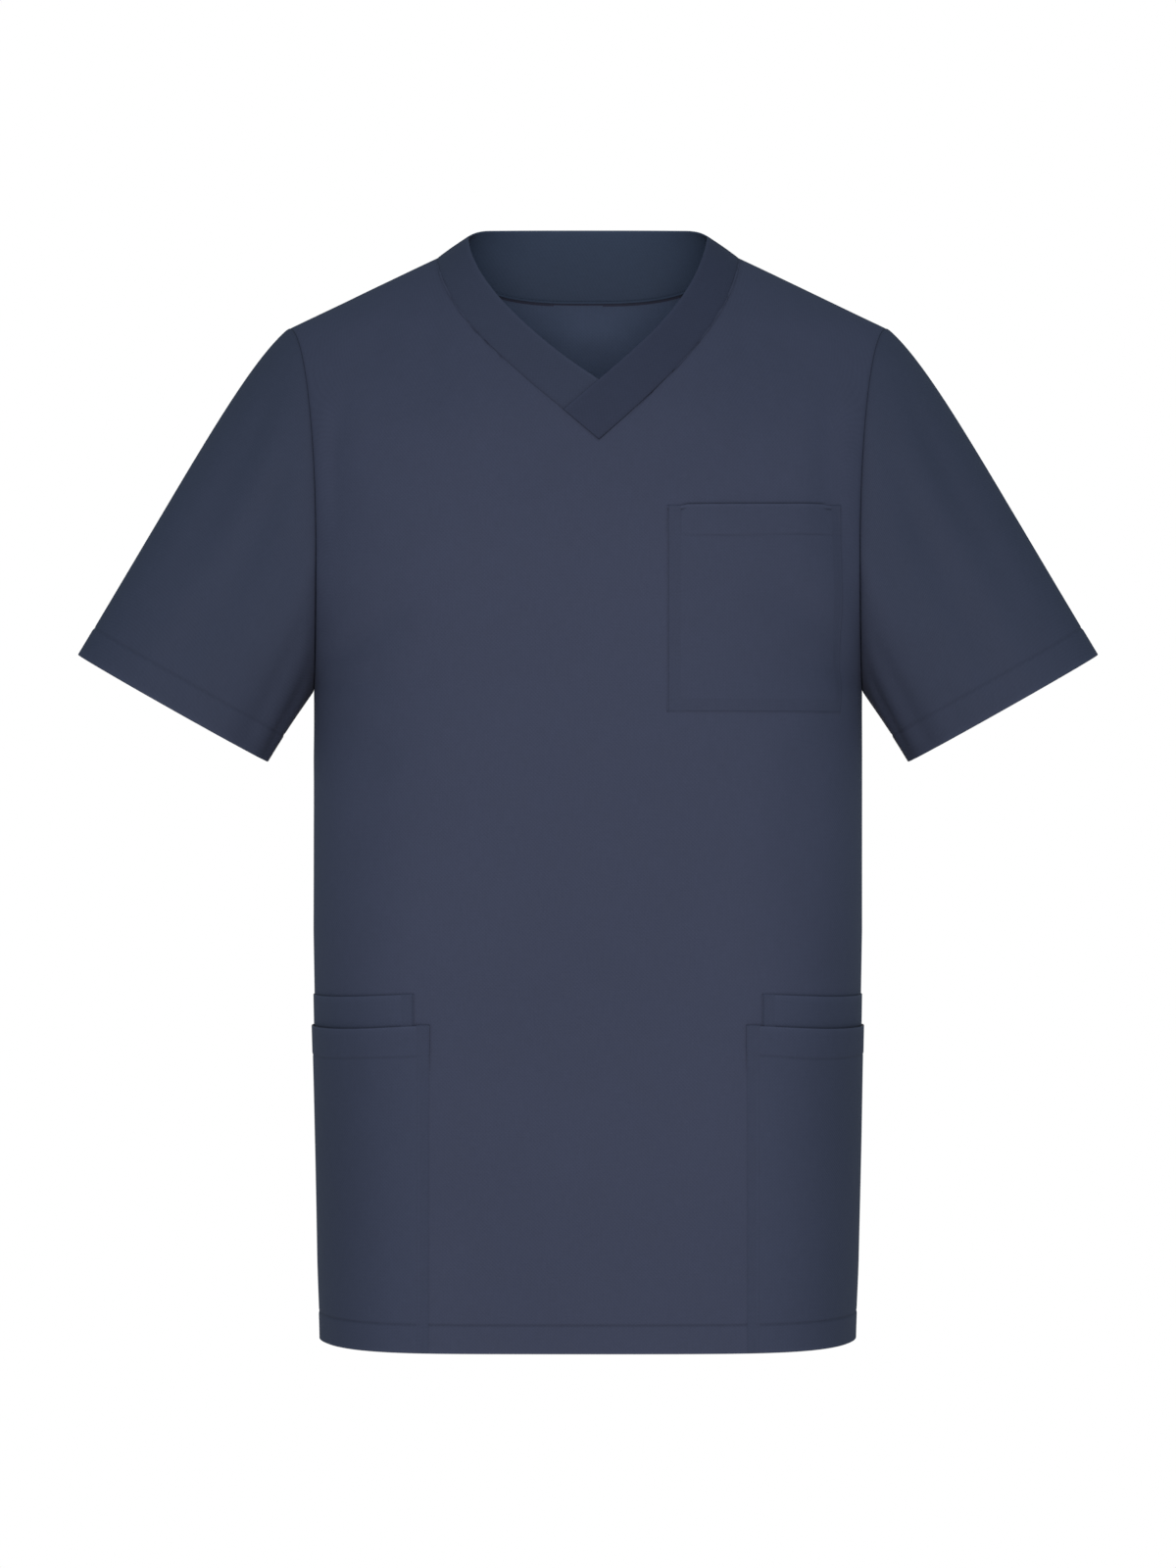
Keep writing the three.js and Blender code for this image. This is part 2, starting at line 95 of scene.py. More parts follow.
def sectionAt(column, z):
    # A column of the table at any height, by smooth steps between its rows.
    heights, values = sections[:, 0], sections[:, column]
    last = len(values) - 1
    places = np.arange(last + 1)
    above, under = np.minimum(places + 1, last), np.maximum(places - 1, 0)
    slopes = (values[above] - values[under]) / (heights[above] - heights[under])
    high = np.clip(np.searchsorted(heights, z), 1, last)
    low = high - 1
    span = heights[high] - heights[low]
    t = np.clip((z - heights[low]) / span, 0, 1)
    start = values[low] * (1 + 2 * t) * (1 - t) ** 2 + span * slopes[low] * t * (1 - t) ** 2
    return start + values[high] * t * t * (3 - 2 * t) + span * slopes[high] * t * t * (t - 1)


def ridgeAt(x):
    # Height of the line over the shoulders, where front and back meet.
    out = np.abs(x)
    inside = form["neckRise"] * (1 - (out / form["neckHalf"]) ** 2)
    outside = (out - form["neckHalf"]) * form["tipZ"] / (form["tipX"] - form["neckHalf"])
    return np.where(out < form["neckHalf"], inside, outside)


def edgeAt(face, z):
    # Half width of a panel: at the side seam, and above it at the armhole.
    below = np.clip((form["taperFrom"] - z) / (form["taperFrom"] + form["length"]), 0, 1)
    up = np.clip((z - form["underarm"]) / (form["tipZ"] - form["underarm"]), 0, 1)
    inset = form["frontInset"] if face < 0 else form["backInset"]
    armhole = mix(form["chestHalf"], form["tipX"], up) - inset * up ** 0.85 * (1 - up) ** 0.45
    return np.where(z <= form["underarm"], mix(form["chestHalf"], form["hemHalf"], below), armhole)


def edgeShare(z):
    up = np.clip((z - form["underarm"]) / form["armholeRise"], 0, 1)
    return form["armholeDepth"] * np.sqrt(1 - (1 - up ** 1.4) ** 1.6)


def reachAt(face, z):
    return edgeAt(face, z) / (1 - edgeShare(z) ** 2) ** (1 / sectionAt(3, z))


def depthSquared(face, x, z):
    depth = sectionAt(1 if face < 0 else 2, z)
    out = np.clip((np.abs(x) - form["neckHalf"]) / (form["tipX"] - form["neckHalf"]), 0, 1)
    rounding = mix(form["neckRounding"], form["tipRounding"], out)
    under = np.clip((ridgeAt(x) - z) / rounding, 0, 1)
    across = np.maximum(0, 1 - (np.abs(x) / reachAt(face, z)) ** sectionAt(3, z))
    return depth ** 2 * (2 * under - under ** 2) * across


thinnest = 0.15  # depth at the very top, where front and back meet


def onBody(face, x, z):
    x, z = np.broadcast_arrays(np.asarray(x, float), np.asarray(z, float))
    return np.stack([x, face * np.maximum(thinnest, np.sqrt(depthSquared(face, x, z))), z], -1)


def outwards(face, p):
    x, y, z = p[..., 0], p[..., 1], p[..., 2]
    step = 0.05
    away = np.where(x > 0, step, -step)
    atEdge = np.abs(x) > edgeAt(face, z) - 1
    near = depthSquared(face, x - away, z)
    here = depthSquared(face, x, z)
    slopeX = np.where(atEdge, (here - near) / away, (depthSquared(face, x + away, z) - near) / (2 * away))
    slopeZ = (here - depthSquared(face, x, z - step)) / step
    return unit(np.stack([-slopeX, np.where(np.abs(y) <= thinnest + 0.001, 0, 2 * y), -slopeZ], -1))


# Soft troughs, and ridges where the depth is negative: from x, z to x, z, half
# width, depth. They are placed one by one, and none is quite like another.
frontCreases = [
    (188, -292, 120, -240, 12, 2.2), (190, -302, 130, -284, 9, 1.4), (191, -318, 142, -374, 14, 1.8),
    (-189, -290, -124, -248, 11, 2.0), (-189, -304, -138, -298, 9, 1.1), (-191, -320, -134, -362, 15, 2.1),
    (170, -96, 178, -214, 10, 1.6), (-172, -104, -176, -206, 11, 1.8),
    (132, -30, 150, -96, 13, 0.9), (-128, -26, -152, -88, 12, 1.0),
    (-150, -372, -158, -512, 21, 1.4), (154, -368, 150, -508, 19, 1.5), (-92, -392, -84, -640, 27, 0.9),
    (84, -404, 92, -660, 29, 1.0), (-16, -250, -24, -430, 31, 0.6), (36, -466, 22, -706, 27, 0.8),
    (-52, -520, -44, -742, 21, 0.9), (62, -600, 70, -744, 17, 0.8), (-70, -128, -42, -176, 13, 0.8),
    (78, -120, 54, -168, 12, 0.7), (8, -150, 6, -210, 10, 0.6), (-30, -640, -22, -748, 15, -0.7),
]
backCreases = [
    (186, -290, 112, -226, 13, 2.6), (187, -304, 122, -282, 10, 1.8), (190, -318, 136, -380, 15, 2.0),
    (-186, -288, -116, -232, 13, 2.3), (-187, -306, -126, -290, 10, 1.9), (-190, -320, -130, -366, 15, 1.8),
    (168, -92, 152, -208, 13, 1.8), (-166, -98, -156, -214, 13, 1.6),
    (126, -30, 138, -118, 14, 1.1), (-130, -26, -134, -108, 13, 1.0),
    (96, -150, 70, -356, 25, 1.4), (-98, -156, -76, -340, 27, 1.6), (10, -210, -4, -452, 31, 1.2),
    (140, -400, 150, -640, 23, 1.5), (-142, -396, -152, -618, 21, 1.7), (58, -420, 66, -700, 27, 1.2),
    (-50, -436, -60, -716, 25, 1.4), (-100, -560, -96, -748, 19, 1.1), (104, -590, 98, -748, 19, 1.0),
    (2, -560, 8, -748, 23, 0.9), (-42, -44, 40, -49, 9, 0.8),
]


# Creases bow a little, fade out beyond their ends, widen, and raise the cloth beside them.
crease = {"bow": 0.05, "beyond": 0.15, "fade": 0.45, "start": 0.8, "widen": 0.5, "beside": 0.35}


def creaseDepth(rows, across, along):
    total = np.zeros(np.shape(across))
    for fromX, fromZ, toX, toZ, width, depth in rows:
        runX, runZ = toX - fromX, toZ - fromZ
        length = math.hypot(runX, runZ)
        t = ((across - fromX) * runX + (along - fromZ) * runZ) / length ** 2
        bow = crease["bow"] * length * np.sin(math.pi * np.clip(t, 0, 1))
        off = ((across - fromX) * runZ - (along - fromZ) * runX) / length - bow
        start, end = t + crease["beyond"], 1 + crease["beyond"] - t
        ends = smooth(start / crease["fade"]) * smooth(end / crease["fade"])
        spread = width * (crease["start"] + crease["widen"] * np.clip(t, 0, 1))
        total -= depth * ends * (bell(off, spread) - crease["beside"] * bell(off - 2 * spread, spread))
    return total


def neckSeamLine(face):
    if face < 0:
        shares = np.linspace(0, 1, 40)
        return np.concatenate([bezier(neckSeam[1], shares), bezier(neckSeam[-1], shares)])
    share = np.linspace(-1, 1, 60)
    drop = form["backNeckDrop"] * (1 - np.abs(share) ** form["backNeckCurve"])
    return np.stack([form["neckHalf"] * share, -drop], -1)


neckLines = {-1: neckSeamLine(-1), 1: neckSeamLine(1)}


def fromSeams(face, p):
    # Distances to the seam at the side and armhole, at the shoulder and at the neck.
    x, y, z = p[..., 0], p[..., 1], p[..., 2]
    edge = edgeAt(face, z)
    edgeY = np.sqrt(np.maximum(0, depthSquared(face, edge, z)))
    side = np.hypot(edge - np.abs(x), np.abs(y) - edgeY)
    shoulder = np.where(np.abs(x) > form["neckHalf"], np.hypot(ridgeAt(x) - z, np.abs(y)), 1e3)
    flat = np.stack([x, z], -1).reshape(-1, 1, 2)
    neck = np.full(len(flat), 1e3)
    high = flat[:, 0, 1] > -200
    if high.any():
        neck[high] = np.linalg.norm(flat[high] - neckLines[face][None], axis=-1).min(1)
    return side, shoulder, neck.reshape(x.shape)


# Faint waves of the cloth: height, and length across and up the body.
waves = ((0.35, 31, 170), (0.3, -90, 47))
# Millimetres from each seam over which the creases fade out.
creasesFade = {"side": 22, "shoulder": 24, "neck": 24}


def bodySurface(face, x, z):
    # The outer face of the cloth with its creases, and the outward direction.
    p = onBody(face, x, z)
    n = outwards(face, p)
    x, z = p[..., 0], p[..., 2]
    side, shoulder, neck = fromSeams(face, p)
    creases = creaseDepth(frontCreases if face < 0 else backCreases, x, z)
    wave = sum(h * np.sin(x / a + z / b + (i + 1) * face) for i, (h, a, b) in enumerate(waves))
    clear = smooth(side / creasesFade["side"])
    clear = clear * smooth(shoulder / creasesFade["shoulder"]) * smooth(neck / creasesFade["neck"])
    return p + n * ((creases + wave) * clear)[..., None], n


def arcLength(points, axis):
    step = np.linalg.norm(np.diff(points, axis=axis), axis=-1)
    start = np.zeros_like(np.take(step, [0], axis=axis))
    return np.concatenate([start, np.cumsum(step, axis=axis)], axis=axis)


def makeGrid(points, outward, shade, wear, soft=0.0):
    # Rows and columns of points with all that a sheet needs: the outward direction, the
    # distances along the cloth, and three shares for its colour: painted shade at seams and
    # mouths, wear along edges with a painted highlight at pocket mouths, and soft painted shade.
    rows, columns = points.shape[:2]
    along = arcLength(points, 1)
    return {
        "p": points, "n": outward,
        "u": along - along[:, columns // 2:columns // 2 + 1], "v": arcLength(points, 0),
        "shade": np.clip(shade, 0, 1), "wear": np.clip(wear, 0, 1),
        "soft": soft + np.zeros((rows, columns)),
    }


# A fold is dark only this near to it, and the cloth behind it gets an even shade.
atFold, hiddenShade = 0.5, 0.1


def turned(grid, side, profile, shade=0.7, keep=1.0):
    # Rows past one edge of a sheet, where it is folded under or let into a seam.
    # A row of the profile is how far in, and how far back along the sheet. The
    # share of the way back that is kept can differ along the edge.
    axis, last = (0 if "row" in side else 1), side.startswith("last")

    def fromEdge(a):
        a = np.moveaxis(a, axis, 0)
        return a[::-1] if last else a

    sheet = {k: fromEdge(v) for k, v in grid.items()}
    p, n = sheet["p"], sheet["n"]
    far = arcLength(p, 0)
    tangent = unit(p[1] - p[0])
    key = "v" if axis == 0 else "u"
    run = np.sign(sheet[key][0] - sheet[key][3])
    columns = np.arange(p.shape[1])
    new = {k: [] for k in grid}
    travelled, previous = 0.0, (0.0, 0.0)
    for inward, backward in profile:
        travelled += math.hypot(inward - previous[0], backward - previous[1])
        previous = (inward, backward)
        behind = backward * (keep if backward > 0 else 1.0)
        low = np.clip((far < behind).sum(0) - 1, 0, len(far) - 2)
        span = far[low + 1, columns] - far[low, columns]
        share = np.clip((behind - far[low, columns]) / span, 0, 1)[:, None]
        base = p[low, columns] * (1 - share) + p[low + 1, columns] * share + tangent * min(backward, 0)
        new["p"].append(base - unit(n[low, columns] * (1 - share) + n[low + 1, columns] * share) * inward)
        new["n"].append(n[0])
        for other in ("u", "v"):
            new[other].append(sheet[other][0] + (run * travelled if other == key else 0))
        new["shade"].append(np.full_like(sheet["shade"][0], shade if abs(backward) < atFold else hiddenShade))
        new["wear"].append(sheet["wear"][0] * 0)
        new["soft"].append(sheet["soft"][0])
    out = {}
    for k in grid:
        longer = np.concatenate([np.stack(new[k])[::-1], sheet[k]], 0)
        out[k] = np.moveaxis(longer[::-1] if last else longer, 0, axis)
    return out


def foldProfile(thick, back, steps=5):
    # A fold round a doubled edge, and then the cloth that lies behind it.
    radius = thick / 2
    rows = [
        (radius * (1 - math.cos(a)), -radius * math.sin(a))
        for a in [math.pi * (i + 1) / steps for i in range(steps)]
    ]
    return rows + [(thick, back * share) for share in (0.04, 0.12, 0.3, 0.55, 0.8, 1)]


# Seam allowances: turned in, tucked under a panel, and meeting another end.
seamProfile = [
    (0.25, -0.14), (0.6, -0.22), (1.0, -0.1), (1.22, 0.3), (1.3, 1.3), (1.3, 3), (1.3, 6), (1.3, 9),
]
underPanel = [(0.4, -0.08), (1.2, -0.14), (1.8, -0.3), (2.0, -0.8), (2.0, -1.7)]
meeting = [(0.2, -0.14), (0.5, -0.2), (0.9, -0.2)]


def onlyThis(obj):
    bpy.ops.object.select_all(action="DESELECT")
    obj.select_set(True)
    bpy.context.view_layer.objects.active = obj


seamShadeFrom = 0.03
smoothBelow = 60  # degrees
weldWithin = 0.00001  # metres


def sewSheet(name, grid, cloth, material, inside, closed=False):
    # A flat grid is laid into its form, welded where it is a tube, and made as thick as the cloth.
    rows, columns = grid["p"].shape[:2]
    bpy.ops.object.select_all(action="DESELECT")
    bpy.ops.mesh.primitive_grid_add(x_subdivisions=columns - 1, y_subdivisions=rows - 1, size=1)
    obj = bpy.context.object
    mesh = obj.data
    obj.name = mesh.name = name
    mesh.vertices.foreach_set("co", (grid["p"] * metre).astype(np.float32).ravel())
    corners = np.empty(len(mesh.loops), dtype=np.int32)
    mesh.loops.foreach_get("vertex_index", corners)
    uv = np.stack([grid["u"].ravel()[corners], grid["v"].ravel()[corners]], -1) * metre
    mesh.uv_layers[0].data.foreach_set("uv", uv.astype(np.float32).ravel())
    mesh.uv_layers[0].name = "cloth"
    for attribute, key in (("seamShade", "shade"), ("edgeWearAndHighlight", "wear"), ("softShade", "soft")):
        layer = mesh.attributes.new(attribute, "FLOAT", "POINT")
        layer.data.foreach_set("value", grid[key].astype(np.float32).ravel())
    mesh.update()
    middle = mesh.polygons[(rows // 2) * (columns - 1) + columns // 2]
    facing = middle.normal.dot(Vector(grid["n"][rows // 2, columns // 2]))
    bpy.ops.object.mode_set(mode="EDIT")
    bpy.ops.mesh.select_all(action="SELECT")
    if facing < 0:
        bpy.ops.mesh.flip_normals()
    if closed:
        bpy.ops.mesh.remove_doubles(threshold=weldWithin)
    bpy.ops.object.mode_set(mode="OBJECT")
    mesh.materials.clear()
    mesh.materials.append(material)
    mesh.materials.append(inside)
    wall = obj.modifiers.new("wall", "SOLIDIFY")
    wall.thickness = cloth * metre
    wall.offset = -1
    # Inner faces take the inside finish; for the panels and sleeves it is a paler copy of the navy, as
    # painted light.
    wall.material_offset = 1
    onlyThis(obj)
    bpy.ops.object.modifier_apply(modifier="wall")
    shades = np.empty(len(mesh.vertices), dtype=np.float32)
    mesh.attributes["seamShade"].data.foreach_get("value", shades)
    for part in mesh.polygons:  # at a seam both faces of the cloth are alike
        if part.material_index and max(shades[v] for v in part.vertices) > seamShadeFrom:
            part.material_index = 0
    bpy.ops.object.shade_smooth_by_angle(angle=math.radians(smoothBelow))
    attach(obj, "root")
    print(name, rows, "by", columns, "faces", len(mesh.polygons))
    return obj


def lineUp(*parts):
    # Places along one way of a grid: start, end, spacing for each part.
    places = []
    for start, end, spacing in parts:
        count = max(1, int(round(abs(end - start) / spacing)))
        places += list(np.linspace(start, end, count + 1)[:-1])
    return np.array(places + [parts[-1][1]])


def columnAcross(face, side, c, z):
    # Where a column crosses a level row; the last ones turn round the side evenly.
    low = np.array(columnLows) * side
    low[0] = form["vX"] if face < 0 else 0
    flat = np.interp(np.minimum(c, flatColumn), np.arange(flatColumn + 1), low * side) * side
    square, reach = sectionAt(3, z), reachAt(face, z)
    start = np.arcsin(np.clip((columnLows[flatColumn] / reach) ** (square / 2), 0, 1))
    end = np.arcsin(np.clip((edgeAt(face, z) / reach) ** (square / 2), 0, 1))
    turn = mix(start, end, np.clip((c - flatColumn) / (lastColumn - flatColumn), 0, 1))
    return np.where(c <= flatColumn, flat, side * reach * np.sin(turn) ** (2 / square))


def columnEnd(face, side, c):
    # Where a column ends on the neck seam or the shoulder seam.
    knots = np.arange(neckColumn + 1)
    share = np.interp(np.minimum(c, neckColumn), knots, columnFront if face < 0 else columnBack)
    if face < 0:
        neck = bezier(neckSeam[side], share)
    else:
        drop = form["backNeckDrop"] * (1 - share ** form["backNeckCurve"])
        neck = np.stack([side * form["neckHalf"] * share, -drop], -1)
    out = np.clip((c - neckColumn) / (lastColumn - neckColumn), 0, 1)
    x = side * mix(form["neckHalf"], form["tipX"], out)
    shoulder = np.stack([x, ridgeAt(x)], -1)
    return np.where((c <= neckColumn)[:, None], neck, shoulder)


def panelPlan(face, levels, rises):
    # x and z of every point of a front or back panel, from the hem up.
    c = lineUp(*innerColumns, *outerColumns)
    z = np.concatenate([levels, np.full(len(rises), form["yoke"])])[:, None]
    rise = np.concatenate([np.zeros(len(levels)), rises])[:, None]
    halves = {}
    for side in (-1, 1):
        across = columnAcross(face, side, c[None, :], z)
        end = columnEnd(face, side, c)
        share = mix(across / edgeAt(face, z), end[None, :, 0] / form["tipX"], rise ** 2)
        x = share * edgeAt(face, mix(z, form["tipZ"], rise))
        halves[side] = (x, mix(z, end[None, :, 1], rise) + 0 * x)
    x = np.concatenate([halves[-1][0][:, :0:-1], halves[1][0]], 1)
    return x, np.concatenate([halves[-1][1][:, :0:-1], halves[1][1]], 1)


def seamDip(distance, depth=0.4, reach=1.1):
    return depth * bell(distance, reach, 1.5)


# Stitches: small grains of thread along a run of points on a piece's outer face.
# Tacks lie across their run and close together, and sunk ones hardly show.
stitch = {
    "pitch": 3.0, "length": 2.3, "thread": 0.42, "sink": 0.16, "deeper": 0.2,
    "tackPitch": 0.5, "tackLength": 1.7, "bend": 0.9,
}


def threadGrain():
    bpy.ops.object.select_all(action="DESELECT")
    bpy.ops.mesh.primitive_uv_sphere_add(segments=6, ring_count=5, radius=0.5, rotation=(0, math.pi / 2, 0))
    bpy.ops.object.transform_apply(location=False, rotation=True, scale=True)
    grain = bpy.context.object
    corners = np.array([v.co[:] for v in grain.data.vertices])
    # the sphere's own order differs from run to run, so its corners and faces are sorted
    order = np.lexsort(np.round(corners, 5).T)
    rank = [int(place) for place in np.argsort(order)]
    corners = corners[order]
    faces = []
    for part in grain.data.polygons:
        face = [rank[v] for v in part.vertices]
        first = face.index(min(face))
        faces.append(tuple(face[first:] + face[:first]))
    faces.sort()
    bpy.data.objects.remove(grain, do_unlink=True)
    corners[:, 2] -= stitch["bend"] * corners[:, 0] ** 2  # both ends dip into the cloth
    return corners, faces


grainCorners, grainFaces = threadGrain()
stitchRuns = {}


def keepRun(node, points, n, kind="seam"):
    stitchRuns.setdefault(node, []).append((np.array(points), np.array(n), kind))


def sewStitches(name, runs, material):
    allCorners, allFaces = [], []
    for points, n, kind in runs:
        length = arcLength(points, 0)
        pitch = stitch["tackPitch"] if kind == "tack" else stitch["pitch"]
        count = max(1, int(length[-1] / pitch))
        middles = (np.arange(count) + 0.5) * length[-1] / count
        middle, out, ahead, before = (
            np.stack([np.interp(at, length, a[:, i]) for i in range(3)], -1)
            for a, at in ((points, middles), (n, middles), (points, middles + 1), (points, middles - 1))
        )
        along = unit(ahead - before)
        out = unit(out - along * np.sum(out * along, -1, keepdims=True))
        across = np.cross(out, along)
        long = stitch["length"]
        if kind == "tack":
            along, across, long = across, along, stitch["tackLength"]
        size = np.array([long, stitch["thread"], stitch["thread"]])
        local = grainCorners * size
        sink = stitch["sink"] + (stitch["deeper"] if kind == "sunk" else 0)
        placed = (middle - out * sink)[:, None] + sum(
            local[None, :, i, None] * way[:, None] for i, way in enumerate((along, across, out))
        )
        if np.linalg.det(np.stack([along[0], across[0], out[0]])) < 0:
            aside = np.sum((placed - middle[:, None]) * across[:, None], -1, keepdims=True)
            placed = placed - 2 * aside * across[:, None]
        start = sum(len(c) for c in allCorners)
        allCorners.append(placed.reshape(-1, 3))
        for i in range(count):
            first = start + i * len(grainCorners)
            allFaces += [tuple(first + v for v in face) for face in grainFaces]
    mesh = bpy.data.meshes.new(name)
    mesh.from_pydata((np.concatenate(allCorners) * metre).tolist(), [], allFaces)
    mesh.validate()
    obj = bpy.data.objects.new(name, mesh)
    bpy.context.scene.collection.objects.link(obj)
    onlyThis(obj)
    bpy.ops.object.shade_smooth()
    mesh.materials.append(material)
    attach(obj, "root")
    print(name, "faces", len(mesh.polygons))
    return obj


# Front and back panels. The hem is turned up once and sewn down.
panel = {
    "cloth": 0.55, "hem": 20, "hemFold": 1.25, "groove": 0.28, "full": 0.3,
    "sideDip": 0.22, "topDip": 0.3, "hemShade": 0.5, "hemWidth": 0.85, "seamShade": 0.28, "seamWidth": 1.3,
    "neckShade": (0.22, 0.42), "neckWidth": 1.4, "hiddenHem": 0.15,
    "allowanceShade": {-1: 0.7, 1: 0.35}, "neckAllowance": 0.06,
}
wornEdge = 1.6
seamPower = 1.3
# Heights of the rows with their spacing: close at the hem's stitches, and where the
# pocket mouths throw a line of shade.
hemRows = ((-form["length"] + 0.65, -765, 1.5), (-765, -754, 3.4), (-754, -746, 0.7))
panelRows = (
    *hemRows, (-746, -551, 4.2), (-551, -538, 0.85), (-538, -528, 3), (-528, -517, 0.85),
    (-517, form["underarm"], 4.2), (form["underarm"], -290, 2.6), (-290, -184, 4), (-184, -176, 0.8),
    (-176, form["yoke"], 3),
)
# Above them the rows bend to the neck and the shoulder: share of the way, spacing.
yokeRows = ((0.03, 0.93, 0.031), (0.93, 0.98, 0.014), (0.98, 1, 0.005))
# Painted shade on the low sides: how much darker, from where across, and from what height down.
sideShading = {"deeper": 0.13, "from": 118, "over": 62, "below": -380, "fall": 220}


def fromHem(z):
    return z + form["length"] - panel["hem"]


def hemWear(z):
    return bell(z + form["length"], wornEdge)


def panelLift(face, p):
    # Fine relief of the sewing: the hem's edge, its stitch line, and the seams.
    hemLine = fromHem(p[..., 2])
    side, shoulder, neck = fromSeams(face, p)
    stitched = -panel["groove"] * bell(hemLine, 1.0)
    fuller = panel["full"] * smooth(-hemLine / 2.5)
    atTop = seamDip(shoulder, panel["topDip"]), seamDip(neck, panel["topDip"])
    return stitched + fuller - seamDip(side, panel["sideDip"]) - atTop[0] - atTop[1]


def paintedSideShade(x, z):
    # Painted shade: the cloth is made a little darker low down towards the side seams.
    aside, low = (np.abs(x) - sideShading["from"]) / sideShading["over"], (sideShading["below"] - z) / sideShading["fall"]
    return sideShading["deeper"] * smooth(aside) * smooth(low)


def bodyPanel(name, face, material, inside):
    levels = lineUp(*panelRows)
    x, z = panelPlan(face, levels, lineUp(*yokeRows))
    surface, n = bodySurface(face, x, z)
    surface = surface + n * panelLift(face, surface)[..., None]
    side, shoulder, neck = fromSeams(face, surface)
    shade = panel["hemShade"] * bell(fromHem(z), panel["hemWidth"])
    shade = shade + panel["seamShade"] * bell(np.minimum(side, shoulder), panel["seamWidth"], seamPower)
    shade += mix(*panel["neckShade"], smooth((x + 20) / 70)) * bell(neck, panel["neckWidth"], seamPower)
    shade += underMouths(x, z) if face < 0 else 0
    row = int(np.argmin(np.abs(fromHem(levels))))
    bare = np.abs(x[row]) < (lowerPocket["edge"] - 1 if face < 0 else 1e3)
    keepRun("front" if face < 0 else "back", surface[row][bare], n[row][bare])
    grid = makeGrid(surface, n, shade, hemWear(z), paintedSideShade(x, z))
    fromNeck = smooth((np.abs(surface[-1, :, 0]) - form["neckHalf"] - 1) / 8)
    keep = panel["neckAllowance"] + (1 - panel["neckAllowance"]) * fromNeck
    grid = turned(grid, "last row", seamProfile, panel["allowanceShade"][face], keep)
    grid = turned(grid, "first column", seamProfile)
    grid = turned(grid, "last column", seamProfile)
    grid = turned(grid, "first row", foldProfile(panel["hemFold"], panel["hem"]), panel["hiddenHem"])
    return sewSheet(name, grid, panel["cloth"], material, inside)


# Sleeves: set in at the armhole, with a turned-up hem at the cuff.
sleeve = {
    "cuffTop": (363.7, -282.8), "cuffBottom": (228.6, -359.1), "halfDepth": 48, "forward": 0.35, "hem": 22,
    "topLeaves": 40, "topHandle": 40, "topArrives": 59, "topBack": 150,
    "lowLeaves": 56.4, "lowHandle": 15, "lowArrives": 59, "lowBack": 30,
    "cloth": 0.55, "hemFold": 1.25, "turns": 120, "perDegree": 1.25, "level": 28, "fade": 20,
    "groove": 0.28, "full": 0.3, "hemShade": 0.2, "armholeShade": 0.26, "underShade": 0.2,
    "gap": 0.3, "outside": 0.15, "settles": 0.05, "underDip": 0.25,
}
# Rows down the sleeve as a share of the way, and level ones by their distance from the cuff.
sleeveRows = ((0, 0.012, 0.004), (0.012, 0.05, 0.012), (0.05, 1, 0.0165))
cuffRows = (
    (sleeve["level"], sleeve["hem"] + 3, 2.5), (sleeve["hem"] + 3, sleeve["hem"] - 3, 0.7),
    (sleeve["hem"] - 3, 1.5, 3.2), (1.5, 0, 0.75),
)
# From share along, turn round to share, turn: half width in mm, depth in mm.
# The turn is in degrees from the top line: 90 is the front, 270 the back.
sleeveCreases = {
    1: [
        (0.02, 62, 0.72, 84, 13, 1.9), (0.1, 34, 0.66, 50, 11, 1.5), (0.3, 112, 0.86, 104, 15, 1.4),
        (0.02, 128, 0.42, 142, 9, 1.5), (0.0, 146, 0.3, 168, 7, 1.3), (0.5, 66, 0.95, 70, 14, -0.8),
        (0.02, 294, 0.7, 276, 14, 2.0), (0.1, 322, 0.64, 310, 12, 1.6), (0.24, 246, 0.84, 254, 15, 1.5),
        (0.02, 232, 0.44, 220, 9, 1.6), (0.0, 212, 0.32, 194, 8, 1.3),
    ],
    -1: [
        (0.02, 66, 0.68, 80, 14, 1.8), (0.08, 36, 0.6, 52, 12, 1.6), (0.34, 108, 0.9, 100, 14, 1.3),
        (0.02, 124, 0.46, 138, 10, 1.6), (0.0, 148, 0.34, 166, 8, 1.2), (0.46, 62, 0.93, 68, 13, -0.8),
        (0.02, 298, 0.62, 280, 15, 1.8), (0.12, 326, 0.7, 312, 11, 1.7), (0.2, 242, 0.8, 250, 14, 1.6),
        (0.02, 228, 0.4, 218, 10, 1.4), (0.0, 210, 0.36, 192, 7, 1.4),
    ],
}


def falling(side, degrees):
    turn = np.radians(degrees)
    return np.stack([side * np.cos(turn), 0 * turn, -np.sin(turn)], -1)


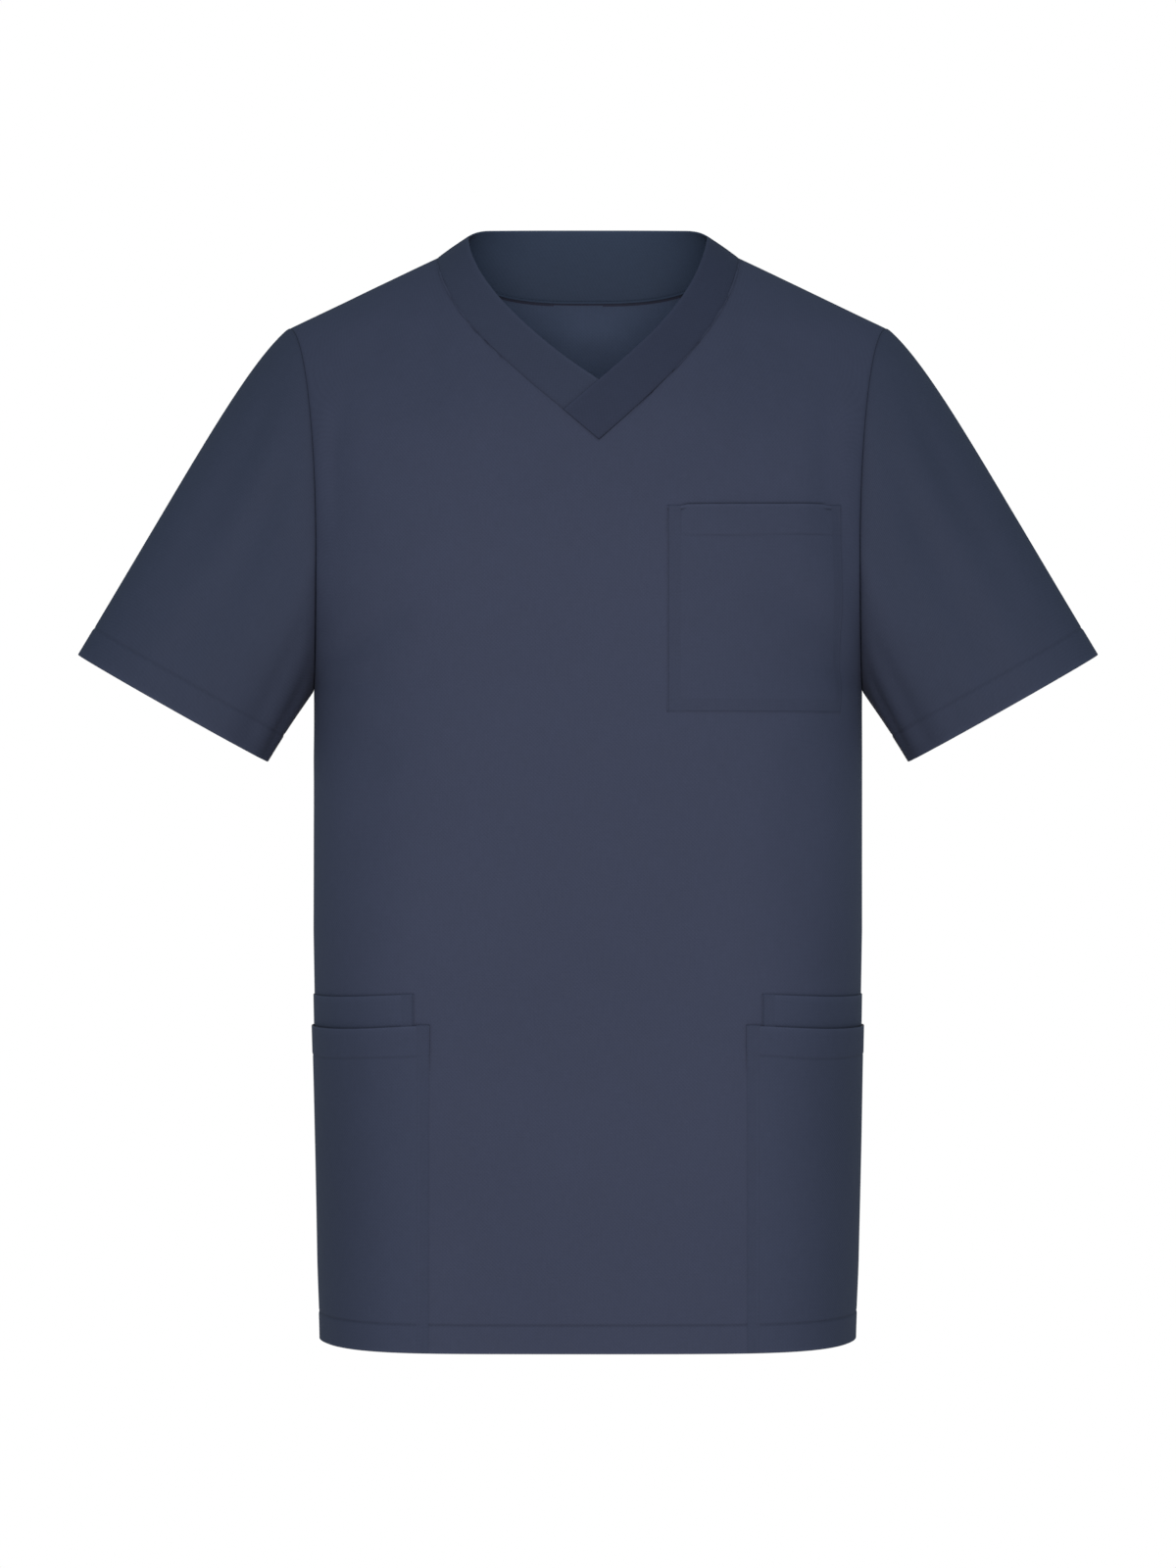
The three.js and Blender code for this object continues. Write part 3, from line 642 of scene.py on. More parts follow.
def sleeveLines(side, turn):
    # The cubic lines that run from the armhole to the cuff, one for each turn.
    face = np.where(turn <= math.pi, -1, 1)
    middle, half = (form["tipZ"] + form["underarm"]) / 2, (form["tipZ"] - form["underarm"]) / 2
    z = middle + half * np.cos(turn)
    front, back = (onBody(f, side * edgeAt(f, z), z) for f in (-1, 1))
    loop = np.where((face < 0)[:, None], front, back)
    out = np.where((face < 0)[:, None], outwards(-1, front), outwards(1, back))
    loop[np.abs(np.sin(turn)) < 1e-9, 1] = 0  # the two ends of the shoulder and side seams
    along = unit(np.roll(loop, -1, 0) - np.roll(loop, 1, 0))
    off = unit(np.cross(along, out))
    centre = np.stack([loop[:, 0], 0 * turn, 0 * turn + middle], -1)
    off *= np.where(np.sum(off * (centre - loop), -1, keepdims=True) < 0, -1, 1)
    start = loop + off * sleeve["gap"] + out * sleeve["outside"]
    height = np.clip((loop[:, 2] - middle) / half, -1, 1)
    fullness, low = np.sqrt(1 - height ** 2), (1 - height) / 2
    swelling = falling(side, mix(sleeve["topLeaves"], sleeve["lowLeaves"], low))
    swelling[:, 1] = face * sleeve["forward"] * fullness
    top, bottom = [np.array([side * a, 0, b]) for a, b in (sleeve["cuffTop"], sleeve["cuffBottom"])]
    end = (top + bottom) / 2 + (top - bottom) / 2 * height[:, None]
    end[:, 1] = face * sleeve["halfDepth"] * fullness
    arrives = falling(side, mix(sleeve["topArrives"], sleeve["lowArrives"], low))
    first = start + swelling * mix(sleeve["topHandle"], sleeve["lowHandle"], low)[:, None]
    second = end - arrives * mix(sleeve["topBack"], sleeve["lowBack"], low)[:, None]
    return out, low[None, :, None], (start, first, second, end)


def sleeveTube(name, side, material, inside):
    turn = np.linspace(0, 2 * math.pi, sleeve["turns"] + 1)[:-1]
    out, low, lines = sleeveLines(side, turn)
    steps = np.linspace(0, 1, 201)
    travelled = arcLength(cubic(*lines, steps[:, None, None]), 0)
    fromCuff = lineUp(*cuffRows)
    upper = lineUp(*sleeveRows)[:-1]
    shares = np.empty((len(upper) + len(fromCuff), len(turn)))
    for j, whole in enumerate(travelled[-1]):
        places = np.concatenate([upper * (whole - sleeve["level"]), whole - fromCuff])
        shares[:, j] = np.interp(places, travelled[:, j], steps)
    points = cubic(*lines, shares[:, :, None])
    around = np.roll(points, -1, 1) - np.roll(points, 1, 1)
    down = np.gradient(points, axis=0)
    away = unit(np.cross(down, around)) * -side
    blend = low + (1 - low) * smooth(shares / sleeve["settles"])[:, :, None]
    away = unit(mix(np.broadcast_to(out, away.shape), away, blend))
    # creases, in millimetres round and along the sleeve
    roundMm = np.degrees(turn)[None, :] * sleeve["perDegree"]
    alongMm = arcLength(points, 0)
    toCuff = alongMm[-1:] - alongMm
    length = math.hypot(sleeve["cuffTop"][0] - form["tipX"], sleeve["cuffTop"][1] - form["tipZ"])
    rows = [
        (b * sleeve["perDegree"], a * length, d * sleeve["perDegree"], c * length, width, depth)
        for a, b, c, d, width, depth in sleeveCreases[side]
    ]
    creases = creaseDepth(rows, roundMm + 0 * alongMm, alongMm)
    underSeam = np.abs(roundMm - 180 * sleeve["perDegree"]) + 0 * alongMm
    clear = smooth(alongMm / sleeve["fade"]) * smooth(underSeam / sleeve["fade"]) * smooth((toCuff + 14) / 30)
    hemMm = sleeve["hem"] - toCuff
    relief = -sleeve["groove"] * bell(hemMm, 1) + sleeve["full"] * smooth(hemMm / 2.5)
    relief = relief - seamDip(alongMm, panel["sideDip"]) - sleeve["underDip"] * seamDip(underSeam)
    points = points + away * (creases * clear + relief)[..., None]
    shade = sleeve["hemShade"] * bell(hemMm, 1.1) + sleeve["armholeShade"] * bell(alongMm, 1.3, seamPower)
    shade = shade + sleeve["underShade"] * bell(underSeam, 1.3)
    row = int(np.argmin(np.abs(hemMm[:, 0])))
    keepRun("sleeve_left" if side > 0 else "sleeve_right",
            *[np.concatenate([a[row], a[row][:1]]) for a in (points, away)])
    wear = bell(toCuff, wornEdge)
    grid = makeGrid(*[np.concatenate([a, a[:, :1]], 1) for a in (points, away, shade, wear)])
    grid = turned(grid, "last row", foldProfile(sleeve["hemFold"], sleeve["hem"]), panel["hiddenHem"])
    grid = turned(grid, "first row", seamProfile)
    return sewSheet(name, grid, sleeve["cloth"], material, inside, closed=True)


# Neckbands: doubled strips, folded along their free edge. In front each runs from the
# shoulder to the V, where the left one is lifted over the right one.
band = {
    "cloth": 0.5, "thick": 1.15, "split": 0.95, "from": 0.5, "to": 0.72, "ends": {1: 0.86, -1: 0.82},
    "gap": 0.3, "full": 0.25, "dip": 0.35, "shade": {1: 0.36, -1: 0.2}, "backShade": 0.45,
    "seamWidth": 1.4, "worn": 1.4,
}
bandEdge = {1: [(86, 15.4), (77, -39), (35, -71)], -1: [(-86, 15.4), (-84, -26), (-27, -76)]}
backBand = {
    "half": 86, "depth": 75, "shoulderTop": 15.4, "rise": 7.8, "corner": 3.9, "cornerDepth": 46, "round": 2.6,
}
acrossBand = ((0, 0.06, 0.02), (0.06, 0.94, 0.1), (0.94, 1, 0.03))
facesNeck = -0.15


def bandNormals(points, flatRows):
    facing = np.stack([points[..., 0], points[..., 1], np.abs(points[..., 0]) * 0.2], -1)
    across, up = np.gradient(points, axis=1), np.gradient(points, axis=0)
    n = unit(np.cross(across, up))
    n = n * np.where(np.sum(n * facing, -1, keepdims=True) < 0, -1, 1)
    n[flatRows, :, 1] = 0
    return unit(n)


def foldedStrip(name, points, n, width, fromSeam, dark, materials, ends):
    # The outer layer from the seam to the free edge, round the fold, and the inner layer back.
    shade = dark * bell(fromSeam, band["seamWidth"], seamPower)
    wear = bell(width[:, None] - fromSeam, band["worn"])
    p, back = points[:, -1], unit(points[:, -4] - points[:, -1])
    radius = band["thick"] / 2
    turns = np.linspace(0, math.pi, 7)[1:-1]
    fold = [p - n[:, -1] * radius * (1 - math.cos(a)) - back * radius * math.sin(a) for a in turns]
    inner = points[:, ::-1] - n[:, ::-1] * band["thick"]
    full = np.concatenate([points, np.stack(fold, 1), inner], 1)
    reach = arcLength(full, 1)

    def doubled(a):
        return np.concatenate([a, np.repeat(a[:, -1:], len(fold), 1), a[:, ::-1]], 1)

    grid = {
        "p": full, "n": doubled(n), "u": reach, "v": arcLength(full, 0), "shade": doubled(shade),
        "wear": np.concatenate([wear, np.ones((len(p), len(fold))), wear[:, ::-1]], 1), "soft": 0 * reach,
    }
    for side, profile in ends:
        grid = turned(grid, side, profile, 0.5)
    # which way it faces is judged on the outer layer
    row, column = grid["p"].shape[0] // 3, len(points[0]) // 2 + len(underPanel)
    a, b, c = grid["p"][row, column], grid["p"][row, column + 1], grid["p"][row + 1, column]
    if np.dot(np.cross(b - a, c - a), grid["n"][row, column]) < 0:
        grid = {k: v[:, ::-1] for k, v in grid.items()}
    return sewSheet(name, grid, band["cloth"], *materials)


def frontBand(name, side, material, inside):
    shares = lineUp((0, 0.02, 0.01), (0.02, 0.98, 0.02), (0.98, 0.9982, 0.006))
    seam = bezier(neckSeam[side], shares)
    last = bezier(neckSeam[-side], band["ends"][side])
    edge = bezier([*bandEdge[side], tuple(last)], shares)
    width = np.linalg.norm(edge - seam, axis=-1)
    k = lineUp(*acrossBand)
    across = (band["gap"] / width)[:, None] + (1 - band["gap"] / width)[:, None] * k[None, :]
    points = onBody(-1, mix(seam[:, :1], edge[:, :1], across), mix(seam[:, 1:], edge[:, 1:], across))
    points[0, :, 1] = -thinnest
    n = bandNormals(points, 0)
    lift = side * band["split"] * smooth((shares - band["from"]) / (band["to"] - band["from"]))
    fromSeam = across * width[:, None]
    relief = -seamDip(fromSeam, band["dip"])
    relief = relief + band["full"] * np.sin(math.pi * k)[None, :] * smooth(shares / 0.1)[:, None]
    points = points + n * (lift[:, None] + relief)[..., None]
    ends = [("first column", underPanel), ("first row", meeting), ("last row", underPanel)]
    return foldedStrip(name, points, n, width, fromSeam, band["shade"][side], (material, inside), ends)


def neckBack(name, material, inside):
    share = lineUp((0, 0.9, 0.04), (0.9, 1, 0.012))
    left = -lineUp((1, 0.9, 0.012), (0.9, 0.02, 0.04), (0.02, 0, 0.02))[:-1]
    share = np.concatenate([left, share])
    way = np.abs(share)
    drop = form["backNeckDrop"] * (1 - way ** form["backNeckCurve"])
    seam = onBody(1, form["neckHalf"] * share, -drop)
    depth = np.maximum(thinnest, backBand["depth"] * np.sqrt(np.maximum(0, 1 - way ** backBand["round"])))
    height = backBand["shoulderTop"] + backBand["rise"] * (depth / backBand["depth"])
    height += backBand["corner"] * smooth(depth / backBand["cornerDepth"])
    edge = np.stack([backBand["half"] * share, depth, height], -1)
    start = seam + unit(edge - seam) * band["gap"]
    k = lineUp(*acrossBand)[None, :, None]
    points = start[:, None] * (1 - k) + edge[:, None] * k
    n = bandNormals(points, (0, -1))
    width = np.linalg.norm(edge - seam, axis=-1)
    fromSeam = k[..., 0] * width[:, None]
    relief = -seamDip(fromSeam, band["dip"]) + band["full"] * np.sin(math.pi * k[..., 0])
    points = points + n * relief[..., None]
    ends = [("first column", underPanel), ("first row", meeting), ("last row", meeting)]
    obj = foldedStrip(name, points, n, width, fromSeam, band["backShade"], (material, inside), ends)
    # The layer that faces the neck takes the paler inside finish: painted light.
    for part in obj.data.polygons:  # the layer that faces the neck
        if part.normal.y < facesNeck:
            part.material_index = 1
    return obj


# Pockets: patches of cloth on the front panel, each a distance out from it. The breast
# pocket's band is tacked at both ends, and its mouth rises a little towards the sleeve.
chestPocket = {
    "left": 55, "right": 177.5, "top": -183.6, "band": 20, "bottom": -325.5, "inset": 8.7, "tack": 11,
    "level": 2.1, "raised": 1.1, "swell": 0.9, "cloth": 0.5, "lift": 0.75, "edgeLift": 0.5, "puff": 0.5,
    "stitchIn": 1.2, "tackDown": 2.2, "mouthShade": 1.5, "mouthWidth": 1.1, "stitchDip": 0.16,
    "edgeShade": 0.2, "bandShade": 0.34, "insetShade": 0.6, "tackShade": 0.9, "bandFull": 0.3,
}
lowerPocket = {
    "edge": 110, "top": -544, "band": 20.5, "drop": 4.2, "gape": 1.4, "cloth": 0.5, "lift": 0.75,
    "over": 0.95, "flatter": 0.85, "bandFull": 0.3, "stitchIn": 1.3,
}
innerPocket = {
    "edge": 121, "top": -522.5, "band": 21, "drop": 3.6, "bottom": -690, "gape": 0.8, "cloth": 0.5,
    "lift": 0.75, "stitchIn": 1.3, "secondIn": 4.8,
}
# A pocket's mouth: painted shadow on the cloth just above it, and a fold that is paler from wear and a
# painted highlight.
mouth = {"shade": 0.8, "width": 1.0, "up": 0.2, "fold": 1.05, "worn": 1.3}
sideSeam = {"shade": 0.36, "width": 1.4}
hemUnder = [(0.15, 0.04), (0.35, 0.2), (0.45, 1.2), (0.45, 3), (0.45, 6), (0.45, 9)]
mouthRows = 1.2  # the height of the close rows under a mouth


def mouthDrop(s, x, z):
    # A mouth falls towards the side seam, and evens out again lower down.
    across = smooth((np.abs(x) - s["edge"] + 10) / 85)
    return s["drop"] * (across - 0.25) * smooth((z - s["top"] + 150) / 120)


def mouthShade(above):
    return mouth["shade"] * bell(above - mouth["up"], mouth["width"])


def underMouths(x, z):
    # Shade on the panel just above each pocket's mouth.
    total = np.zeros(np.shape(x))
    for s in (lowerPocket, innerPocket):
        above = z - s["top"] + mouthDrop(s, x, np.full_like(z, s["top"]))
        total += mouthShade(above) * smooth((np.abs(x) - s["edge"] - 1) / 4)
    s = chestPocket
    share = np.clip((x - s["left"]) / (s["right"] - s["left"]), 0, 1)
    within = smooth((x - s["left"] - s["tack"] + 1) / 3) * smooth((s["right"] - s["tack"] + 1 - x) / 3)
    above = z - s["top"] - s["raised"] - s["level"] * share ** 2
    return total + s["mouthShade"] * bell(above - mouth["up"], s["mouthWidth"]) * within


def gaping(p, s):
    # How far a pocket's mouth stands open, most of it round the side of the body.
    nearSide = smooth((np.abs(p[..., 0]) - lowerPocket["edge"]) / 60)
    pinned = smooth(np.abs(p[..., 1]) / 70)
    return s["gape"] * smooth(1 - (s["top"] - p[..., 2]) / 50) * nearSide * pinned


def sideColumns(side, s, z):
    # Places across from a pocket's inner edge to the side seam, for each row.
    flat = np.interp(s["edge"], columnLows, np.arange(flatColumn + 1))
    c = lineUp((flat, flat + 0.6, 0.06), (flat + 0.6, flatColumn, 0.34), *outerColumns)
    return columnAcross(-1, side, c[None, :], z[:, None])


def nearest(values, at):
    return int(np.argmin(np.abs(values - at)))


def sewPocket(name, grid, s, material, sides):
    # Its sides are turned under or let into a seam, and its mouth is folded down inside.
    for side, profile, shade in sides:
        grid = turned(grid, side, profile, shade)
    grid = turned(grid, "last row", foldProfile(mouth["fold"], s["band"]), 0.1)
    return sewSheet(name, grid, s["cloth"], material, material)


def breastPocket(name, material):
    s = chestPocket
    insetAt, bandAt = s["left"] + s["inset"], s["top"] - s["band"]
    x = lineUp((s["left"], s["left"] + 3, 0.5), (s["left"] + 3, insetAt - 1.5, 1.5),
               (insetAt - 1.5, insetAt + 1.5, 0.5), (insetAt + 1.5, s["right"] - 3, 3.6),
               (s["right"] - 3, s["right"], 0.5))
    z = lineUp((s["bottom"], s["bottom"] + 3, 0.5), (s["bottom"] + 3, bandAt - 3, 3.8),
               (bandAt - 3, bandAt + 3, 0.6), (bandAt + 3, s["top"] - 3.5, 2.6),
               (s["top"] - 3.5, s["top"], 0.5))
    X, Z = np.meshgrid(x, z)
    middle, reach = (s["left"] + s["right"]) / 2, (s["right"] - s["left"]) / 2
    fromEnd = reach - np.abs(X - middle)
    share = (X - s["left"]) / (s["right"] - s["left"])
    upward = s["level"] * share ** 2 * smooth((Z - s["top"] + 90) / 70)
    upward += s["raised"] * smooth((fromEnd - s["tack"] + 2) / 5) * smooth((Z - s["top"] + 9) / 8)
    surface, n = bodySurface(-1, X, Z + upward)
    opened = smooth(1 - (s["top"] - Z) / 45) * smooth((fromEnd - s["tack"]) / 24)
    bandLine = Z - bandAt + 0.3 * np.sin(X / 13)
    sides = np.minimum(fromEnd, Z - s["bottom"])
    # lines of stitches: round the edge, under the band, up the inset and along the tacks
    edgeLine = bell(sides - s["stitchIn"], 0.55)
    bandSeam = bell(bandLine, 0.65) * smooth((X - insetAt) / 0.8)
    upright = bell(X - insetAt, 0.6) * smooth(bandLine / 1.0)
    tacked = bell(s["top"] - s["tackDown"] - Z, 0.7) * smooth((s["tack"] - fromEnd) / 0.8)
    sewn = -s["stitchDip"] * edgeLine - s["stitchDip"] * bandSeam - 0.12 * upright - 0.2 * tacked
    puff = s["puff"] * smooth((sides - 2) / 14) * smooth((s["top"] + 4 - Z) / 20)
    lift = mix(s["edgeLift"], s["lift"], smooth(sides / 6)) + s["swell"] * opened
    lift = lift + s["bandFull"] * smooth(bandLine / 1.5) + sewn + puff
    points = surface + n * lift[..., None]
    uneven = 0.65 + 0.35 * np.sin(X / 9.3 + 1) * np.sin(Z / 14.7)
    shade = uneven * (s["edgeShade"] * edgeLine + s["bandShade"] * bandSeam + s["insetShade"] * upright)
    shade = shade + s["tackShade"] * tacked
    low, high = nearest(z, s["bottom"] + s["stitchIn"]), nearest(z, s["top"] - s["stitchIn"])
    left, right = nearest(x, s["left"] + s["stitchIn"]), nearest(x, s["right"] - s["stitchIn"])
    insetColumn, bandRow = nearest(x, insetAt), nearest(z, bandAt)
    tackRow = nearest(z, s["top"] - s["tackDown"])
    tackLeft, tackRight = nearest(x, s["left"] + s["tack"]), nearest(x, s["right"] - s["tack"])
    for picked in ((slice(low, high), left), (low, slice(left, right)), (slice(low, high), right),
                   (bandRow, slice(insetColumn, right)), (slice(bandRow, high), insetColumn)):
        keepRun("chest_pocket", points[picked], n[picked])
    for picked in ((tackRow, slice(0, tackLeft + 1)), (tackRow, slice(tackRight, len(x)))):
        keepRun("chest_pocket_tack", points[picked], n[picked], "tack")
    grid = makeGrid(points, n, shade, bell(s["top"] - Z, mouth["worn"]))
    sides = [(side, hemUnder, 0.7) for side in ("first column", "last column", "first row")]
    return sewPocket(name, grid, s, material, sides)


def lowerLift(X, Z, p):
    # Distance from the panel to the outer face of the larger lower pocket.
    s = lowerPocket
    overInner = smooth((np.abs(X) - s["edge"]) / 11) * smooth((Z + form["length"]) / 60)
    opened = gaping(p, innerPocket) + gaping(p, s)
    inBand = smooth((Z - s["top"] + s["band"]) / 1.5)
    belowBand = smooth((s["top"] - s["band"] - 4 - Z) / 8)
    atEdge = s["flatter"] * (1 - smooth((np.abs(X) - s["edge"]) / 8)) * belowBand
    return s["lift"] + 0.3 + overInner * s["over"] + opened + s["bandFull"] * inBand - atEdge


def outerLowerPocket(name, side, material):
    s = lowerPocket
    bandAt = s["top"] - s["band"]
    z = lineUp(*hemRows, (-746, bandAt - 3, 4.2), (bandAt - 3, bandAt + 3, 0.75),
               (bandAt + 3, s["top"] - mouthRows, 3.2), (s["top"] - mouthRows, s["top"], 0.6))
    X = sideColumns(side, s, z)
    Z = z[:, None] + 0 * X
    surface, n = bodySurface(-1, X, Z - mouthDrop(s, X, Z))
    inner = np.abs(X) - s["edge"]
    bandLine = Z - s["top"] + s["band"] + 0.35 * np.sin(X / 11)
    hemLine = fromHem(Z)
    fromSide = fromSeams(-1, surface)[0]
    sewn = -0.18 * bell(bandLine, 0.8) - panel["groove"] * bell(hemLine, 1)
    lift = lowerLift(X, Z, surface) + sewn - seamDip(fromSide, 0.5) + 0.25 * smooth(-hemLine / 2.5)
    lift = lift * smooth((fromSide + 1.2) / 2.4)
    points = surface + n * lift[..., None]
    corner = smooth((bandLine + 8) / 2) * smooth(-bandLine / 2)
    shade = 0.5 * corner * bell(inner - s["stitchIn"], 0.6) + 0.3 * bell(bandLine, 0.7)
    shade = shade + 0.42 * bell(hemLine, 1.0)
    shade = shade + sideSeam["shade"] * bell(fromSide, sideSeam["width"], seamPower)
    node = "pocket_left" if side > 0 else "pocket_right"
    column = nearest(inner[0], s["stitchIn"])
    hemRow, bandRow = nearest(hemLine[:, 0], 0), nearest(bandLine[:, 0], 0)
    keepRun(node, points[hemRow], n[hemRow])
    keepRun(node, points[bandRow, column:], n[bandRow, column:])
    keepRun(node, points[bandRow:-2, column], n[bandRow:-2, column])
    keepRun(node, points[hemRow:bandRow, column], n[hemRow:bandRow, column], "sunk")
    grid = makeGrid(points, n, shade, bell(s["top"] - Z, mouth["worn"]) + hemWear(Z), paintedSideShade(X, Z))
    sides = [("first column", hemUnder, 0.2), ("last column", meeting, 0.7)]
    return sewPocket(name, grid, s, material, sides)


def innerLowerPocket(name, side, material):
    s = innerPocket
    z = lineUp((s["bottom"], s["bottom"] + 3, 1), (s["bottom"] + 3, -549, 5), (-549, -540, 0.75),
               (-540, s["top"] - mouthRows, 3.2), (s["top"] - mouthRows, s["top"], 0.6))
    X = sideColumns(side, s, z)
    Z = z[:, None] + 0 * X
    surface, n = bodySurface(-1, X, Z - mouthDrop(s, X, Z))
    first, second = (np.abs(X) - s["edge"] - s[key] for key in ("stitchIn", "secondIn"))
    fromSide = fromSeams(-1, surface)[0]
    sewn = 0.2 * (bell(first, 0.6) + bell(second, 0.6))
    lift = s["lift"] + gaping(surface, s) - sewn - seamDip(fromSide, 0.4)
    points = surface + n * (lift * smooth((fromSide + 1.2) / 2.4))[..., None]
    shade = 0.3 * bell(first, 0.5) + 1.1 * bell(second, 0.9)
    shade = shade + sideSeam["shade"] * bell(fromSide, sideSeam["width"], seamPower)
    shade += mouthShade(Z - mouthDrop(s, X, Z) - lowerPocket["top"] + mouthDrop(lowerPocket, X, Z))
    node = "inner_pocket_left" if side > 0 else "inner_pocket_right"
    seen = slice(nearest(z, lowerPocket["top"] - 6), -2)
    for line in (first, second):
        column = nearest(line[0], 0)
        keepRun(node, points[seen, column], n[seen, column])
    grid = makeGrid(points, n, shade, bell(s["top"] - Z, mouth["worn"]), paintedSideShade(X, Z))
    sides = [("first column", hemUnder, 0.7), ("last column", meeting, 0.7)]
    return sewPocket(name, grid, s, material, sides)


# Finishes: one navy, a little different in the pockets. The sleeves and the neckbands have darker copies of
# it as painted shade, the left band darkest, and the inner faces paler copies as painted light.
navy = {
    "navyCloth": (0.047, 0.0565, 0.0935), "sleeveShadedCloth": (0.0405, 0.0505, 0.083),
    "insideLitCloth": (0.077, 0.112, 0.190), "doubledCloth": (0.0455, 0.055, 0.091),
    "pocketCloth": (0.0445, 0.0548, 0.0915), "bandShadedCloth": (0.039, 0.0485, 0.0805),
    "bandLeftShadedCloth": (0.033, 0.041, 0.0705), "bandInsideLitCloth": (0.043, 0.063, 0.105),
}
# The tack thread is a darker copy of the sewing thread: painted shade of the dense bar tacks.
thread = {"sewingThread": (0.0405, 0.0495, 0.082), "tackShadedThread": (0.02, 0.025, 0.042)}
weaveLook = {"Painted Seam Shade": 0.45, "Edge Wear And Highlight": 0.12, "Unevenness": 0.06, "Weave Pitch": 2400.0}
threadLook = {"Painted Seam Shade": 0, "Edge Wear And Highlight": 0, "Unevenness": 0.1}
surfaceLook = {"Specular IOR Level": 0.12, "Sheen Weight": 0.008, "Sheen Roughness": 0.5}
clothRoughness = 0.8
relief = {"depth": 0.00012, "cloth": 0.35, "thread": 0.2}


def fillNode(tree, node, inputs):
    # Gives a node's inputs their numbers, and links those that come from a socket.
    for key, value in inputs.items():
        if isinstance(value, bpy.types.NodeSocket):
            tree.links.new(value, node.inputs[key])
        else:
            node.inputs[key].default_value = value


def addNode(tree, kind, inputs):
    node = tree.nodes.new("ShaderNode" + kind)
    fillNode(tree, node, inputs)
    return node


def clothWeaveGroup():
    # Plain weave, slub, faint unevenness of the dye, painted shade at seams and mouths, and paler folded
    # edges (wear, and a painted highlight at pocket mouths).
    group = bpy.data.node_groups.new("clothWeave", "ShaderNodeTree")
    face = group.interface
    face.new_socket("Colour", in_out="INPUT", socket_type="NodeSocketColor")
    for label, value in weaveLook.items():
        face.new_socket(label, in_out="INPUT", socket_type="NodeSocketFloat").default_value = value
    face.new_socket("Colour", in_out="OUTPUT", socket_type="NodeSocketColor")
    for label in ("Roughness", "Height"):
        face.new_socket(label, in_out="OUTPUT", socket_type="NodeSocketFloat")
    given = group.nodes.new("NodeGroupInput").outputs

    def calculate(operation, *values):
        node = addNode(group, "Math", dict(enumerate(values)))
        node.operation = operation
        return node.outputs[0]

    def plus(a, b):
        return calculate("ADD", a, b)

    def less(a, b):
        return calculate("SUBTRACT", a, b)

    def times(a, b):
        return calculate("MULTIPLY", a, b)

    def noise(scale, detail, vector):
        return addNode(group, "TexNoise", {"Scale": scale, "Detail": detail, "Vector": vector}).outputs["Fac"]

    def slub(*scale):
        # thick and thin places, drawn out along the threads
        mapping = addNode(group, "Mapping", {"Scale": scale, "Vector": uv.outputs["UV"]})
        return less(noise(1.0, 3, mapping.outputs[0]), 0.5)

    def kept(name):
        node = addNode(group, "Attribute", {})
        node.attribute_name = name
        return node.outputs["Fac"]

    uv = addNode(group, "UVMap", {})
    uv.uv_map = "cloth"
    split = addNode(group, "SeparateXYZ", {0: uv.outputs["UV"]})
    place = addNode(group, "TexCoord", {}).outputs["Object"]
    warp, weft = (calculate("SINE", times(split.outputs[i], given["Weave Pitch"])) for i in (0, 1))
    weave = times(warp, weft)
    threads = plus(slub(900, 90, 1), slub(110, 1000, 1))
    patches, mottle = noise(7, 4, place), noise(55, 3, place)
    wear = kept("edgeWearAndHighlight")
    dark = plus(times(kept("seamShade"), given["Painted Seam Shade"]), kept("softShade"))
    worn = times(times(wear, given["Edge Wear And Highlight"]), plus(mottle, 0.5))
    spread = plus(plus(less(patches, 0.5), times(less(mottle, 0.5), 0.7)), times(threads, 1.1))
    spread = times(spread, times(given["Unevenness"], 2.0))
    level = plus(plus(less(plus(1.0, spread), dark), worn), times(weave, 0.04))
    tint = addNode(group, "VectorMath", {0: given["Colour"]})
    tint.operation = "SCALE"
    fillNode(group, tint, {"Scale": level})
    rough = less(plus(clothRoughness, times(less(mottle, 0.5), 0.18)), times(wear, 0.06))
    height = plus(plus(times(weave, 0.5), times(threads, 0.9)), times(mottle, 1.2))
    result = group.nodes.new("NodeGroupOutput")
    fillNode(group, result, {"Colour": tint.outputs[0], "Roughness": rough, "Height": height})
    return group


weaveGroup = clothWeaveGroup()


def clothFinish(name, colour, look, strength):
    material = bpy.data.materials.new(name)
    material.use_nodes = True
    tree = material.node_tree
    cloth = addNode(tree, "Group", {})
    cloth.node_tree = weaveGroup
    fillNode(tree, cloth, {"Colour": (*colour, 1), **look})
    woven = cloth.outputs
    bump = {"Strength": strength, "Distance": relief["depth"], "Height": woven["Height"]}
    raised = addNode(tree, "Bump", bump)
    fillNode(tree, tree.nodes["Principled BSDF"], {
        "Base Color": woven["Colour"], "Roughness": woven["Roughness"], "Normal": raised.outputs["Normal"],
        **surfaceLook,
    })
    return material


finish = {name: clothFinish(name, colour, weaveLook, relief["cloth"]) for name, colour in navy.items()}
finish.update({
    name: clothFinish(name, colour, threadLook, relief["thread"]) for name, colour in thread.items()
})
print("finishes made")

